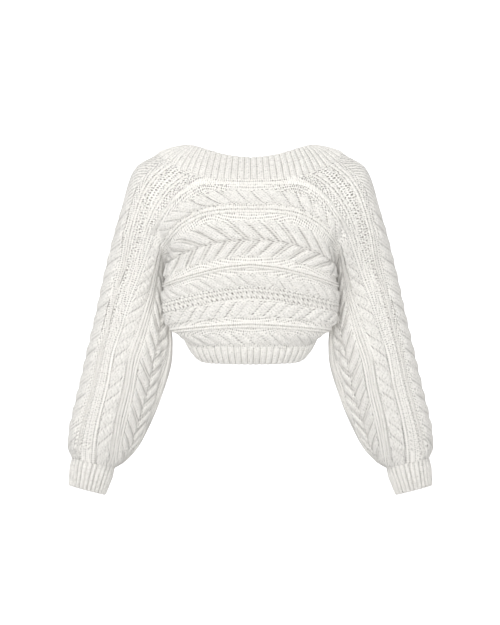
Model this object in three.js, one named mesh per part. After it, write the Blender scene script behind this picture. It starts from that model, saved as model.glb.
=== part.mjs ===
// A cable-knit bolero, worn cuff to cuff as a shrug, filled out as if on a general figure.
// Units are millimetres. +Z is up, -Y is the wearer's back, +X is the wearer's right.
// The origin lies midway between the two tops of the neck rib, where the shoulders carry it.
//
// The cloth is one wall, thickest at its cables. It is described by guide rows: lines of the
// knitting that run from the middle of the back, or from the rib ring round the opening, out to
// the cuff. A guide row's place round the sleeve is its row angle, in degrees: 0 on the outside
// of the arm, 90 at the back, 180 under the arm, 270 at the front. The back carries on past 180,
// because its lower rows end on the rib ring instead of running into the sleeve.
import * as THREE from "three";

const WALL = 3; // plain knitted ground
const RELIEF = 4.4; // how far a cable stands above the ground
const GROUND = -RELIEF / 2; // the ground lies this far under the mean outline
const RIB_RELIEF = 2.6; // how far a rib stands above the groove beside it
const SEAM_GAP = 0.3; // between two pieces where they are sewn together
const ROPE_PITCH = 26; // one crossing of a rope cable to the next
const HERRING_PITCH = 29; // one branch of the wide herringbone to the next
const MOSS_PITCH = 26; // a pair of coarse bumps in the bobbled band
const PLAIN_STEP = 27; // distance between points along a plain row
const INNER_TURN = 14; // most row angle between two rows of the plain inside
const RIB_PITCH = 11.5; // one rib to the next on the ring
const CUFF_RIBS = 19; // ribs round one cuff
const SIDE_POWER = 2.4; // roundness of the back as seen from above

// The rib ring round the opening: where it is sewn on, and its free edge.
const RIB_RING = [
  { at: "nape", seam: [0, -88, -70], edge: [0, -62, -27] },
  { at: "back neck", seam: [50, -86, -68], edge: [43, -60, -22] },
  { at: "raglan", seam: [93, -80, -63], edge: [78, -50, -12] },
  { at: "shoulder", seam: [130, -60, -48], edge: [102, -30, -4] },
  { at: "shoulder top", seam: [159, -32, -31], edge: [115, -8, -1] },
  { at: "ridge", seam: [176, 5, -17], edge: [119, 14, -3] },
  { at: "collarbone", seam: [170, 42, -38], edge: [116, 46, -20] },
  { at: "upper front", seam: [158, 72, -80], edge: [108, 80, -66] },
  { at: "front", seam: [150, 88, -130], edge: [99, 98, -122] },
  { at: "lower front", seam: [148, 86, -185], edge: [97, 98, -182] },
  { at: "below front", seam: [150, 64, -235], edge: [102, 78, -240] },
  { at: "underarm", seam: [151, 28, -268], edge: [109, 45, -290] },
  { at: "side", seam: [141, -4, -300], edge: [108, 8, -337] },
  { at: "flank", seam: [130, -34, -334], edge: [106, -26, -372] },
  { at: "hem corner", seam: [106, -74, -375], edge: [90, -62, -404] },
  { at: "hem", seam: [60, -96, -377], edge: [52, -86, -409] },
  { at: "hem centre", seam: [0, -104, -377], edge: [0, -93, -410] },
];

// The back seen in level slices: half-width where it turns forward, depth there, depth at the spine.
const BACK_SLICES = [
  { z: -377, half: 118, side: -66, spine: -104 },
  { z: -344, half: 146, side: -56, spine: -112 },
  { z: -304, half: 162, side: -50, spine: -116 },
  { z: -264, half: 165, side: -50, spine: -119 },
  { z: -225, half: 168, side: -50, spine: -120 },
  { z: -195, half: 185, side: -38, spine: -118 },
  { z: -165, half: 222, side: -15, spine: -115 },
  { z: -130, half: 236, side: -2, spine: -109 },
  { z: -95, half: 225, side: 0, spine: -98 },
  { z: -60, half: 205, side: 0, spine: -85 },
];

// Guide rows of the back: height at the spine, how late the row droops, the point where it turns
// forward round the side, and its end, on the armhole or at a place along the rib ring.
const BACK_ROWS = [
  { angle: 72, spine: -87, power: 3.8, turn: [170, -83, -162], end: [178, -80, -174] },
  { angle: 96, spine: -124.5, power: 3.7, turn: [157, -82, -186], end: [164, -76, -197] },
  { angle: 110, spine: -149, power: 3.1, turn: [152, -75, -201], end: [163, -59, -213] },
  { angle: 127, spine: -181, power: 2.4, turn: [155, -57, -223], end: [156, -31, -235] },
  { angle: 157.5, spine: -226.5, power: 1.6, turn: [162, -50, -263], end: [153, 3, -265] },
  { angle: 166, spine: -241, power: 1.55, turn: [163, -50, -274], ring: 11.3 },
  { angle: 188, spine: -278, power: 1.5, turn: [161, -50, -304], ring: 12 },
  { angle: 220.5, spine: -335.5, power: 1.5, turn: [143, -58, -345], ring: 13 },
  { angle: 245, spine: -377, power: 1.5, turn: [96, -81, -377], ring: 14 },
];
const RAGLAN = { angle: 65, end: [186, -78, -168], power: 1.75 }; // top row of the back
const ROW_STATIONS = [0, 0.3, 0.58, 0.8, 0.94]; // shares of the way to the turn

// Guide rows of the shoulder and front: place on the rib ring, on the shoulder cap, on the armhole.
const FRONT_ROWS = [
  { angle: 180, ring: 11, cap: [152, 29, -269], arm: [155, 29, -273] },
  { angle: 210, ring: 10.2, cap: [154, 55, -248], arm: [159, 50, -258] },
  { angle: 240, ring: 9.1, cap: [158, 80, -200], arm: [172, 70, -231] },
  { angle: 270, ring: 8, cap: [170, 87, -148], arm: [192, 79, -203] },
  { angle: 300, ring: 7, cap: [190, 73, -108], arm: [219, 68, -178] },
  { angle: 330, ring: 5.9, cap: [211, 40, -66], arm: [241, 42, -155] },
  { angle: 360, ring: 5, cap: [221, 8, -51], arm: [249, 8, -146] },
  { angle: 380, ring: 4.6, cap: [217, -20, -55], arm: [244, -22, -149] },
  { angle: 404, ring: 4, cap: [203, -48, -77], arm: [229, -50, -158] },
];

// Sections down the sleeve: its outer and inner edge, depth of its middle, half its depth, and
// how far its rows are drawn to the inside, where the fullness is taken up.
const SLEEVE = [
  { out: [264, -202], inn: [158, -293], mid: 10, deep: 60, gather: 1.3 },
  { out: [277, -258], inn: [151, -328], mid: 12, deep: 63, gather: 1.2 },
  { out: [290, -318], inn: [143, -368], mid: 16, deep: 67, gather: 1.05 },
  { out: [304, -378], inn: [145, -412], mid: 20, deep: 70, gather: 1 },
  { out: [317, -438], inn: [161, -465], mid: 25, deep: 69, gather: 1.05 },
  { out: [329, -490], inn: [182, -514], mid: 30, deep: 64, gather: 1.15 },
  { out: [336, -535], inn: [207, -557], mid: 34, deep: 55, gather: 1.45 },
  { out: [337, -562], inn: [230, -586], mid: 36, deep: 44, gather: 2 },
  { out: [333, -581], inn: [250, -601], mid: 37, deep: 34, gather: 2.4 },
];
const CUFF_END = { out: [336, -633], inn: [270, -651], mid: 41, deep: 28 };
const GATHER_FROM = 50; // row angle past which the rows are drawn inwards

// Soft folds of the sleeve: row angle and place at each end, half-width in row angle, depth.
const FOLDS = [
  { from: [41, 0.8], to: [41, 8.8], width: 7, depth: 2.2 },
  { from: [128, 1.8], to: [166, 7.4], width: 9, depth: 4 },
  { from: [246, 1.6], to: [212, 7.6], width: 12, depth: 5 },
  { from: [324, 1.4], to: [304, 7.2], width: 11, depth: 4 },
];
const PLEATS = { from: 6.8, count: 9, depth: 2.4 }; // the gathers above a cuff

// Bands of the knitting by row angle. shear is how many pitches a cable leans across its band
// from its first edge to its last; a herringbone leans out to its middle and back again.
const BANDS = [
  { kind: "rope", from: 3, to: 32, pitch: ROPE_PITCH, shear: 1, height: 1 },
  { kind: "line", from: 38, to: 43, height: 0.6 },
  { kind: "rope", from: 44, to: 57, pitch: 34, shear: 1, height: 0.7 },
  { kind: "line", from: 58, to: 62, height: 0.45 },
  { kind: "rope", from: 72, to: 90, pitch: ROPE_PITCH, shear: 1, height: 1 },
  { kind: "line", from: 92, to: 100, height: 0.6 },
  { kind: "herring", from: 107, to: 147, pitch: HERRING_PITCH, shear: 1, height: 1 },
  { kind: "line", from: 154, to: 161, height: 0.6 },
  { kind: "rope", from: 166, to: 181, pitch: ROPE_PITCH, shear: 1, height: 1 },
  { kind: "moss", from: 181, to: 195, pitch: MOSS_PITCH, height: 0.5 },
  { kind: "rope", from: 195, to: 213, pitch: ROPE_PITCH, shear: -1, height: 1 },
  { kind: "line", from: 217, to: 224.5, height: 0.6 },
  { kind: "rope", from: 229, to: 243, pitch: ROPE_PITCH, shear: 1, height: 1 },
];
// Rows of points across each kind of band, as shares of its width, with the height at each.
const PROFILES = {
  rope: [[0, 0], [0.25, 1], [0.75, 1], [1, 0]],
  herring: [[0, 0], [0.2, 1], [0.44, 0.9], [0.56, 0.9], [0.8, 1], [1, 0]],
  line: [[0, 0], [0.3, 1], [0.7, 1], [1, 0]],
  moss: [[0, 0], [0.33, 1], [0.67, 1], [1, 0]],
};
const GROOVE = 0.25; // height left in the groove between two strands
const FADE_IN = 3; // points over which a cable grows from a seam
const CUFF_FADE = 60; // length over which the gathers flatten the cables above a cuff
const CORNER = 166; // row angle where the armhole seam meets the rib ring
const CORNER_RING = 11.3; // the same corner's place along the ring
const RIDGE = 5; // place along the ring where the collar gives way to the front band
const HEM_FROM = 14; // place along the ring where the front band gives way to the hem
const RING_END = 16; // the hem's middle
const RAGLAN_REACH = 30; // row angle over which the rows settle beside the raglan line
const RIB_BOW = 3; // how far a rib band bellies outwards

// ---------------------------------------------------------------- curves

const point = (p) => new THREE.Vector3(...p);
const between = (p, q, share) => p.clone().lerp(q, share);

// Value at x of a smooth curve through values given at rising knots.
function curve(knots, values, x) {
  const last = knots.length - 1;
  let i = 0;
  while (i < last - 1 && x > knots[i + 1]) i++;
  const step = knots[i + 1] - knots[i];
  const slope = (k) => {
    const rise = (m) => values[m + 1].clone().sub(values[m]).divideScalar(knots[m + 1] - knots[m]);
    if (k === 0) return rise(0);
    if (k === last) return rise(last - 1);
    const before = knots[k] - knots[k - 1];
    const after = knots[k + 1] - knots[k];
    return rise(k - 1).multiplyScalar(after).add(rise(k).multiplyScalar(before))
      .divideScalar(before + after);
  };
  const t = (x - knots[i]) / step;
  const weights = [
    2 * t ** 3 - 3 * t ** 2 + 1, t ** 3 - 2 * t ** 2 + t, 3 * t ** 2 - 2 * t ** 3, t ** 3 - t ** 2,
  ];
  return values[i].clone().multiplyScalar(weights[0])
    .addScaledVector(slope(i), weights[1] * step)
    .addScaledVector(values[i + 1], weights[2])
    .addScaledVector(slope(i + 1), weights[3] * step);
}

const RING_KNOTS = RIB_RING.map((_, i) => i);
const RING_SEAMS = RIB_RING.map((r) => point(r.seam));
const RING_EDGES = RIB_RING.map((r) => point(r.edge));
const seamPoint = (t) => curve(RING_KNOTS, RING_SEAMS, t);
const edgePoint = (t) => curve(RING_KNOTS, RING_EDGES, t);

// Outward direction of the rib ring at its seam, which the cloth sewn to it shares.
function seamNormal(t) {
  const along = seamPoint(Math.min(t + 0.05, 16)).sub(seamPoint(Math.max(t - 0.05, 0)));
  return along.cross(edgePoint(t).sub(seamPoint(t))).normalize();
}

// ---------------------------------------------------------------- guide rows

function backDepth(x, z) {
  const knots = BACK_SLICES.map((s) => s.z);
  const sizes = BACK_SLICES.map((s) => new THREE.Vector3(s.half, s.side, s.spine));
  const slice = curve(knots, sizes, z);
  const share = Math.min(1, Math.abs(x) / slice.x) ** SIDE_POWER;
  return slice.y + (slice.z - slice.y) * (1 - share) ** (1 / SIDE_POWER);
}

function backRow(row) {
  const turn = point(row.turn);
  const points = ROW_STATIONS.map((share) => {
    const x = turn.x * share;
    const z = row.spine + (turn.z - row.spine) * share ** row.power;
    return new THREE.Vector3(x, backDepth(x, z), z);
  });
  return [...points, turn, row.end ? point(row.end) : seamPoint(row.ring)];
}

// The top row follows the neck seam, and then the raglan line down to the armhole.
function raglanRow() {
  const corner = seamPoint(2);
  const end = point(RAGLAN.end);
  const below = [0.45, 0.75, 0.9].map((share) => {
    const x = corner.x + (end.x - corner.x) * share;
    const z = corner.z + (end.z - corner.z) * share ** RAGLAN.power;
    return new THREE.Vector3(x, backDepth(x, z), z);
  });
  return [seamPoint(0), seamPoint(1), corner, ...below, end];
}

const BACK_NET = [
  { angle: RAGLAN.angle, points: raglanRow() },
  ...BACK_ROWS.map((row) => ({ angle: row.angle, points: backRow(row) })),
];
const BACK_KNOTS = BACK_NET.map((r) => r.angle);
const BACK_STATIONS = [0, 1, 2, 3, 4, 5, 6];
const TOP_ANGLE = RAGLAN.angle;
const HEM_ANGLE = 245;

const numbers = (knots, values, x) =>
  curve(knots, values.map((v) => new THREE.Vector3(v, 0, 0)), x).x;

// A point of the back's guide rows, taken across them at one station.
const backStation = (k, angle) => curve(BACK_KNOTS, BACK_NET.map((r) => r.points[k]), angle);

// Armhole points all round the sleeve, repeated a turn each way so that the ring closes.
const ARM_NET = [
  ...BACK_NET.filter((r) => r.angle <= CORNER).map((r) => ({ angle: r.angle, arm: r.points[6] })),
  ...FRONT_ROWS.map((r) => ({ angle: r.angle, arm: point(r.arm) })),
];
const ARM_TURNS = [-360, 0, 360].flatMap((turn) =>
  ARM_NET.map((r) => ({ angle: r.angle + turn, arm: r.arm })));
const ARM_KNOTS = ARM_TURNS.map((r) => r.angle);
const armPoint = (angle) => curve(ARM_KNOTS, ARM_TURNS.map((r) => r.arm), angle);

const CAP_NET = [
  { angle: CORNER, ring: CORNER_RING, cap: seamPoint(CORNER_RING) },
  ...FRONT_ROWS.map((r) => ({ angle: r.angle, ring: r.ring, cap: point(r.cap) })),
  {
    angle: TOP_ANGLE + 360,
    ring: 2,
    cap: curve(BACK_STATIONS, BACK_NET[0].points, 4),
  },
];
const CAP_KNOTS = CAP_NET.map((r) => r.angle);
const capPoint = (angle) => curve(CAP_KNOTS, CAP_NET.map((r) => r.cap), angle);
const capRing = (angle) => numbers(CAP_KNOTS, CAP_NET.map((r) => r.ring), angle);

const SIDE_NET = BACK_ROWS.filter((r) => r.ring);
const sideRing = (angle) =>
  numbers(SIDE_NET.map((r) => r.angle), SIDE_NET.map((r) => r.ring), angle);

function backSurface(w, angle) {
  const points = [0, 1, 2, 3, 4, 5].map((k) => backStation(k, angle));
  const end = angle <= CORNER ? armPoint(angle) : seamPoint(sideRing(angle));
  return curve(BACK_STATIONS, [...points, end], w);
}

// A row angle drawn towards the inside of the arm by a gather.
function gathered(angle, gather) {
  const half = angle > 180 ? 360 - angle : angle;
  if (half <= GATHER_FROM) return angle;
  const room = 180 - GATHER_FROM;
  const drawn = GATHER_FROM + room * (1 - (1 - (half - GATHER_FROM) / room) ** gather);
  return angle > 180 ? 360 - drawn : drawn;
}

// A point of an oval section, at a true angle round it.
function ovalPoint(section, angle) {
  const turned = THREE.MathUtils.degToRad(angle);
  const [outX, outZ] = section.out;
  const [innX, innZ] = section.inn;
  const c = Math.cos(turned) / 2;
  return new THREE.Vector3(
    (outX + innX) / 2 + (outX - innX) * c,
    section.mid - section.deep * Math.sin(turned),
    (outZ + innZ) / 2 + (outZ - innZ) * c,
  );
}

const SLEEVE_END = SLEEVE.length;
const SLEEVE_PLACES = SLEEVE.map((_, i) => i + 1);
const SLEEVE_AXIS = SLEEVE.map((s) => ovalPoint(s, 0).lerp(ovalPoint(s, 180), 0.5));

// How deep the folds and gathers lie at a place on the sleeve.
function foldDepth(w, angle) {
  let depth = 0;
  for (const fold of FOLDS) {
    const share = (w - fold.from[1]) / (fold.to[1] - fold.from[1]);
    const middle = fold.from[0] + (fold.to[0] - fold.from[0]) * share;
    const across = Math.abs(angle - middle) / fold.width;
    if (share <= 0 || share >= 1 || across >= 1) continue;
    depth += fold.depth * Math.sin(Math.PI * share) ** 0.7 * Math.cos((Math.PI / 2) * across) ** 2;
  }
  const share = (w - PLEATS.from) / (SLEEVE_END - PLEATS.from);
  if (share <= 0 || share >= 1) return depth;
  const wave = 0.5 - 0.5 * Math.cos(PLEATS.count * THREE.MathUtils.degToRad(angle));
  return depth + PLEATS.depth * wave * Math.sin(Math.PI * share);
}

function sleeveSurface(w, rowAngle) {
  const angle = rowAngle < TOP_ANGLE ? rowAngle + 360 : rowAngle;
  const turn = angle % 360;
  const rings = SLEEVE.map((s) => ovalPoint(s, gathered(turn, s.gather)));
  const head = angle <= CORNER
    ? [backStation(5, angle)]
    : [seamPoint(capRing(angle)), capPoint(angle)];
  const points = [...head, armPoint(angle), ...rings];
  const knots = points.map((_, i) => i - head.length);
  const plain = curve(knots, points, w);
  const deep = foldDepth(w, turn);
  if (deep > 0) {
    const middle = curve(SLEEVE_PLACES, SLEEVE_AXIS, Math.max(1, w));
    plain.addScaledVector(plain.clone().sub(middle).normalize(), -deep);
  }
  const near = 1 - (TOP_ANGLE + 360 - angle) / RAGLAN_REACH;
  return w < 0 && near > 0 ? plain.addScaledVector(raglanPull(w), near * near) : plain;
}

// How far the rows beside the raglan line are drawn onto it.
function raglanPull(w) {
  const corner = armPoint(TOP_ANGLE);
  const end = ovalPoint(SLEEVE[0], gathered(TOP_ANGLE, SLEEVE[0].gather));
  const loose = [seamPoint(2), capPoint(TOP_ANGLE + 360), corner, end];
  const line = curve(BACK_STATIONS, BACK_NET[0].points, 2 * w + 6);
  return line.sub(curve([-2, -1, 0, 1], loose, w));
}

// Outward direction of a piece of cloth, from the run of its rows.
function outward(surface, w, angle) {
  const along = surface(w + 0.03, angle).sub(surface(w - 0.03, angle));
  const across = surface(w, angle + 0.4).sub(surface(w, angle - 0.4));
  return across.cross(along).normalize();
}

// ---------------------------------------------------------------- rows of points

// Lengths along a line, so that points can be set out evenly on it.
function measured(place, from, to) {
  const steps = 72;
  const marks = [{ w: from, s: 0 }];
  let last = place(from);
  for (let i = 1; i <= steps; i++) {
    const w = from + ((to - from) * i) / steps;
    const next = place(w);
    marks.push({ w, s: marks[i - 1].s + next.distanceTo(last) });
    last = next;
  }
  const length = marks[steps].s;
  const at = (share) => {
    const s = share * length;
    let k = 1;
    while (k < steps && marks[k].s < s) k++;
    const [a, b] = [marks[k - 1], marks[k]];
    return a.w + ((b.w - a.w) * (s - a.s)) / (b.s - a.s);
  };
  return { length, at };
}

// Every row of a piece: its angle, and the band it belongs to with its place across the band.
function rowsBetween(from, to, bands) {
  const rows = [];
  for (const band of bands) {
    if (band.from < from || band.to > to) continue;
    for (const [share, height] of PROFILES[band.kind]) {
      const angle = band.from + (band.to - band.from) * share;
      const shared = rows.length > 0 && angle - rows[rows.length - 1].angle < 0.01;
      if (!shared) rows.push({ angle, band, share, height });
    }
  }
  return rows;
}

const plainRow = (angle) => ({ angle, band: null, share: 0, height: 0 });
const onwardBand = (band) => ({ ...band, from: band.from + 360, to: band.to + 360 });
const mirrorBand = (band) => ({
  ...band,
  from: 360 - band.to,
  to: 360 - band.from,
  shear: band.kind === "rope" ? -band.shear : band.shear,
});
const isCable = (row) => row.height > 0 && row.band.kind !== "line";

// Stations along a row as shares of its length, and how far the cloth rises at each. A rope is
// drawn by points that alternate between ridge and groove, leaning across the band.
function stations(row, length, ropeLean) {
  const cable = isCable(row);
  const step = cable ? row.band.pitch / 2 : PLAIN_STEP;
  const count = Math.max(2, 2 * Math.round(length / step / 2));
  const middle = 0.5 - Math.abs(row.share - 0.5);
  let lean = 0;
  if (cable && row.band.kind === "rope") lean = ropeLean * row.band.shear * (2 * row.share - 1);
  if (cable && row.band.kind === "herring") lean = 4 * row.band.shear * middle;
  const list = [];
  for (let i = 0; i <= count; i++) {
    const near = Math.min(i, count - i, FADE_IN) / FADE_IN;
    const grown = near * near * (3 - 2 * near);
    let rise = row.height > 0 ? row.band.height * row.height : 0;
    if (cable && row.band.kind === "moss") {
      rise *= (i + (row.share < 0.5 ? 0 : 1)) % 2 === 0 ? 1 : 0.1;
    } else if (cable) {
      rise *= i % 2 === 1 ? 1 : GROOVE;
    }
    list.push({ share: (i + lean * grown) / count, rise: i === 0 || i === count ? 0 : rise });
  }
  return list;
}

// ---------------------------------------------------------------- meshes

class Shell {
  constructor() {
    this.points = [];
    this.faces = [];
  }

  add(p) {
    this.points.push(p);
    return this.points.length - 1;
  }

  distance(a, b) {
    return this.points[a.id].distanceTo(this.points[b.id]);
  }

  // The rim between an outside and an inside line. It takes the shorter crossing each time, so
  // that the two pieces at a seam divide it alike.
  rim(first, second) {
    this.strip(first, second, (i, j) =>
      this.distance(first[i + 1], second[j]) <= this.distance(first[i], second[j + 1]));
  }

  // Triangles between two lines of points, each given as ids with rising marks.
  strip(first, second, rule = (i, j) => first[i + 1].mark <= second[j + 1].mark) {
    let i = 0;
    let j = 0;
    while (i < first.length - 1 || j < second.length - 1) {
      const stepFirst = j === second.length - 1 || (i < first.length - 1 && rule(i, j));
      const [a, b] = [first[i].id, second[j].id];
      const c = stepFirst ? first[++i].id : second[++j].id;
      if (a !== b && b !== c && a !== c) this.faces.push([a, b, c]);
    }
  }

  mesh(name, mirrored = false) {
    const geometry = new THREE.BufferGeometry();
    const sign = mirrored ? -1 : 1;
    const xyz = this.points.flatMap((p) => [sign * p.x, p.y, p.z]);
    const order = mirrored ? (f) => [f[0], f[2], f[1]] : (f) => f;
    geometry.setAttribute("position", new THREE.Float32BufferAttribute(xyz, 3));
    geometry.setIndex(this.faces.flatMap(order));
    geometry.computeVertexNormals();
    const made = new THREE.Mesh(geometry, YARN);
    made.name = name;
    return made;
  }
}

const YARN = new THREE.MeshStandardMaterial({ color: "#e8e5de", roughness: 0.95 });
YARN.name = "off-white knit";

const FACE = GROUND;
const LINING = GROUND - WALL;

// A seam is a line of points with outward directions; side points from the second piece named to
// the first. Both pieces take the same points and stand back half the gap.
function seamLine(list) {
  return list.map((v, i) => {
    const before = list[Math.max(0, i - 1)].p;
    const after = list[Math.min(list.length - 1, i + 1)].p;
    const tangent = after.clone().sub(before);
    const side = v.n.clone().cross(tangent).normalize();
    return { ...v, side };
  });
}

const standBack = (v, sign) => v.p.clone().addScaledVector(v.side, (sign * SEAM_GAP) / 2);

// Rows of the inside: enough of the outside's to follow its roundness, and always the named ones.
function thinned(rows, always) {
  const kept = [0];
  for (let i = 1; i < rows.length - 1; i++) {
    const reach = rows[i + 1].angle - rows[kept[kept.length - 1]].angle;
    if (reach > INNER_TURN || always.includes(rows[i].angle)) kept.push(i);
  }
  kept.push(rows.length - 1);
  return kept;
}

// ---------------------------------------------------------------- seams

const SLEEVE_BANDS = BANDS.filter((b) => b.to < CORNER);
const HEAD_BANDS = SLEEVE_BANDS.filter((b) => b.to <= TOP_ANGLE);
const ARM_BANDS = SLEEVE_BANDS.filter((b) => b.from > TOP_ANGLE);
const ARMHOLE_ROWS = [...rowsBetween(TOP_ANGLE, CORNER, ARM_BANDS), plainRow(CORNER)];
const SLEEVE_ROWS = [
  plainRow(TOP_ANGLE),
  ...ARMHOLE_ROWS,
  plainRow(180),
  ...rowsBetween(180, TOP_ANGLE + 360, [
    ...[...SLEEVE_BANDS].reverse().map(mirrorBand),
    ...HEAD_BANDS.map(onwardBand),
  ]),
  plainRow(TOP_ANGLE + 360),
];
const BACK_ROWS_ALL = [
  plainRow(TOP_ANGLE),
  ...rowsBetween(TOP_ANGLE, HEM_ANGLE, BANDS),
  plainRow(HEM_ANGLE),
];
const SLEEVE_INSIDE = thinned(SLEEVE_ROWS, [CORNER, 180]);
const BACK_INSIDE = thinned(BACK_ROWS_ALL, [CORNER]);

const NECK_MARKS = [0, 0.5, 1, 1.5, 2];
const HEM_MARKS = [14.5, 15, 15.5, 16];
const RAGLAN_COUNT = 6;

const ringVertex = (t, inside) => ({ p: seamPoint(t), n: seamNormal(t), mark: t, inside });

// The ring's seam, from the middle of the neck to the middle of the hem.
const RING_SEAM = seamLine([
  ...NECK_MARKS.map((t) => ringVertex(t, true)),
  ...SLEEVE_ROWS.map((r, i) => ({ angle: r.angle, inside: SLEEVE_INSIDE.includes(i) }))
    .filter((r) => r.angle >= CORNER && r.angle < TOP_ANGLE + 360)
    .reverse()
    .map((r) => ringVertex(capRing(r.angle), r.inside)),
  ...BACK_ROWS_ALL.map((r, i) => ({ angle: r.angle, inside: BACK_INSIDE.includes(i) }))
    .filter((r) => r.angle > CORNER)
    .map((r) => ringVertex(sideRing(r.angle), r.inside)),
  ...HEM_MARKS.map((t) => ringVertex(t, true)),
]);
const onRing = (t) => RING_SEAM.find((v) => Math.abs(v.mark - t) < 1e-6);

// The sleeve's seam: down the raglan line from the neck, then round the armhole to the ring.
const raglanCurve = (w) => curve(BACK_STATIONS, BACK_NET[0].points, w);
const raglanRun = measured(raglanCurve, 2, 6);
const raglanVertex = (i) => {
  const w = raglanRun.at(i / RAGLAN_COUNT);
  const n = i === 0 ? seamNormal(2) : outward(backSurface, Math.min(w, 5.9), TOP_ANGLE);
  return { p: raglanCurve(w), n, mark: i - RAGLAN_COUNT };
};
const SLEEVE_SEAM = seamLine([
  ...Array.from({ length: RAGLAN_COUNT + 1 }, (_, i) => raglanVertex(i)),
  ...ARMHOLE_ROWS.map((r) => ({
    p: r.angle === CORNER ? seamPoint(CORNER_RING) : armPoint(r.angle),
    n: r.angle === CORNER ? seamNormal(CORNER_RING) : outward(sleeveSurface, 0, r.angle),
    mark: r.angle,
  })),
]);
const onArmhole = (angle) => SLEEVE_SEAM.find((v) => Math.abs(v.mark - angle) < 1e-6);

// The cuff's seam, all the way round the sleeve's end.
const trueAngle = (a) => {
  const gather = SLEEVE[SLEEVE_END - 1].gather;
  return a < 360 ? gathered(a, gather) : 360 + gathered(a - 360, gather);
};
const CUFF_SEAM = seamLine(SLEEVE_ROWS.map((r) => ({
  p: sleeveSurface(SLEEVE_END, r.angle),
  n: outward(sleeveSurface, SLEEVE_END, r.angle),
  mark: trueAngle(r.angle),
})));

// ---------------------------------------------------------------- pieces

const lifted = (p, n, height) => p.clone().addScaledVector(n, height);

// Marks a line of vertices by their share of its length.
function markedByLength(shell, ids) {
  const spots = ids.map((id) => shell.points[id]);
  const runs = [0];
  for (let i = 1; i < ids.length; i++) runs.push(runs[i - 1] + spots[i].distanceTo(spots[i - 1]));
  return ids.map((id, i) => ({ id, mark: runs[i] / runs[ids.length - 1] }));
}

const byIndex = (line) => line.map((v, i) => ({ id: v.id, mark: i }));

// The strip between two neighbouring rows; rows of one cable are joined strand to strand.
function joinRows(shell, rows, lines, i) {
  const [a, b] = [rows[i], rows[i + 1]];
  const same = a.band && a.band === b.band && isCable(a) && isCable(b);
  if (same) shell.strip(byIndex(lines[i]), byIndex(lines[i + 1]));
  else shell.strip(lines[i], lines[i + 1]);
}

// Length used for every row of a band, so that its rows carry the same number of points.
function bandLengths(rows, lengthOf) {
  const sums = new Map();
  for (const row of rows) {
    const entry = sums.get(row.band) ?? { sum: 0, count: 0 };
    sums.set(row.band, { sum: entry.sum + lengthOf(row), count: entry.count + 1 });
  }
  return (row) => (row.band ? sums.get(row.band).sum / sums.get(row.band).count : lengthOf(row));
}

function sleeve(name, mirrored) {
  const shell = new Shell();
  const last = SLEEVE_ROWS.length - 1;
  const runs = SLEEVE_ROWS.map((r, i) => measured((w) => sleeveSurface(w, r.angle),
    r.angle <= CORNER || i === last ? 0 : -2, SLEEVE_END));
  const lengthOf = bandLengths(SLEEVE_ROWS, (r) => runs[SLEEVE_ROWS.indexOf(r)].length);

  // Seam vertices of this piece, outside and inside.
  const start = (r, face) => {
    const corner = r.angle === CORNER;
    const v = r.angle <= CORNER ? onArmhole(r.angle) : onRing(capRing(r.angle));
    const p = standBack(v, r.angle <= CORNER ? 1 : -1);
    if (corner) p.addScaledVector(onRing(CORNER_RING).side, -SEAM_GAP / 2);
    return shell.add(lifted(p, v.n, face));
  };
  const cuffEnd = (i, face) => {
    const v = CUFF_SEAM[i];
    return shell.add(lifted(standBack(v, -1), v.n, face));
  };
  const neckPart = (face) => SLEEVE_SEAM.slice(0, RAGLAN_COUNT).map((v, i) => {
    const p = standBack(v, 1);
    if (i === 0) p.addScaledVector(onRing(2).side, -SEAM_GAP / 2);
    return shell.add(lifted(p, v.n, face));
  });

  const buildRow = (i, face, relief) => {
    const r = SLEEVE_ROWS[i];
    const run = runs[i];
    const row = relief ? r : plainRow(r.angle);
    const list = stations(row, relief ? lengthOf(r) : run.length, -1);
    return list.map(({ share, rise }, k) => {
      if (k === 0) {
        const top = i === 0 ? SLEEVE_SEAM[RAGLAN_COUNT] : null;
        const id = top ? shell.add(lifted(standBack(top, 1), top.n, face)) : start(r, face);
        return { id, mark: 0 };
      }
      if (k === list.length - 1) return { id: cuffEnd(i, face), mark: 1 };
      const w = run.at(share);
      const left = (1 - share) * run.length;
      const calm = Math.min(1, 0.2 + (0.8 * left) / CUFF_FADE);
      const height = face + RELIEF * rise * calm;
      const p = lifted(sleeveSurface(w, r.angle), outward(sleeveSurface, w, r.angle), height);
      return { id: shell.add(p), mark: share };
    });
  };

  const buildFace = (face, kept, relief) => {
    const lines = kept.slice(0, -1).map((i) => buildRow(i, face, relief));
    const neck = neckPart(face);
    const whole = markedByLength(shell, [...neck, ...lines[0].map((v) => v.id)]);
    lines.push(whole);
    return { lines, neck };
  };

  const all = SLEEVE_ROWS.map((_, i) => i);
  const outer = buildFace(FACE, all, true);
  const inner = buildFace(LINING, SLEEVE_INSIDE, false);
  for (let i = 0; i < last; i++) joinRows(shell, SLEEVE_ROWS, outer.lines, i);
  for (let i = 0; i < SLEEVE_INSIDE.length - 1; i++) {
    shell.strip(inner.lines[i + 1], inner.lines[i]);
  }
  const edge = (side, kept) => [
    ...side.neck.map((id, i) => ({ id, mark: i - RAGLAN_COUNT })),
    ...kept.slice(0, -1).map((k, i) => ({ id: side.lines[i][0].id, mark: k })),
    { id: side.neck[0], mark: last },
  ];
  shell.rim(edge(outer, all), edge(inner, SLEEVE_INSIDE));
  const end = (side, kept) => kept.map((k, i) => {
    const line = side.lines[i];
    return { id: line[line.length - 1].id, mark: k };
  });
  shell.rim(end(inner, SLEEVE_INSIDE), end(outer, all));
  return shell.mesh(name, mirrored);
}

const flipX = (p) => new THREE.Vector3(-p.x, p.y, p.z);

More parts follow.
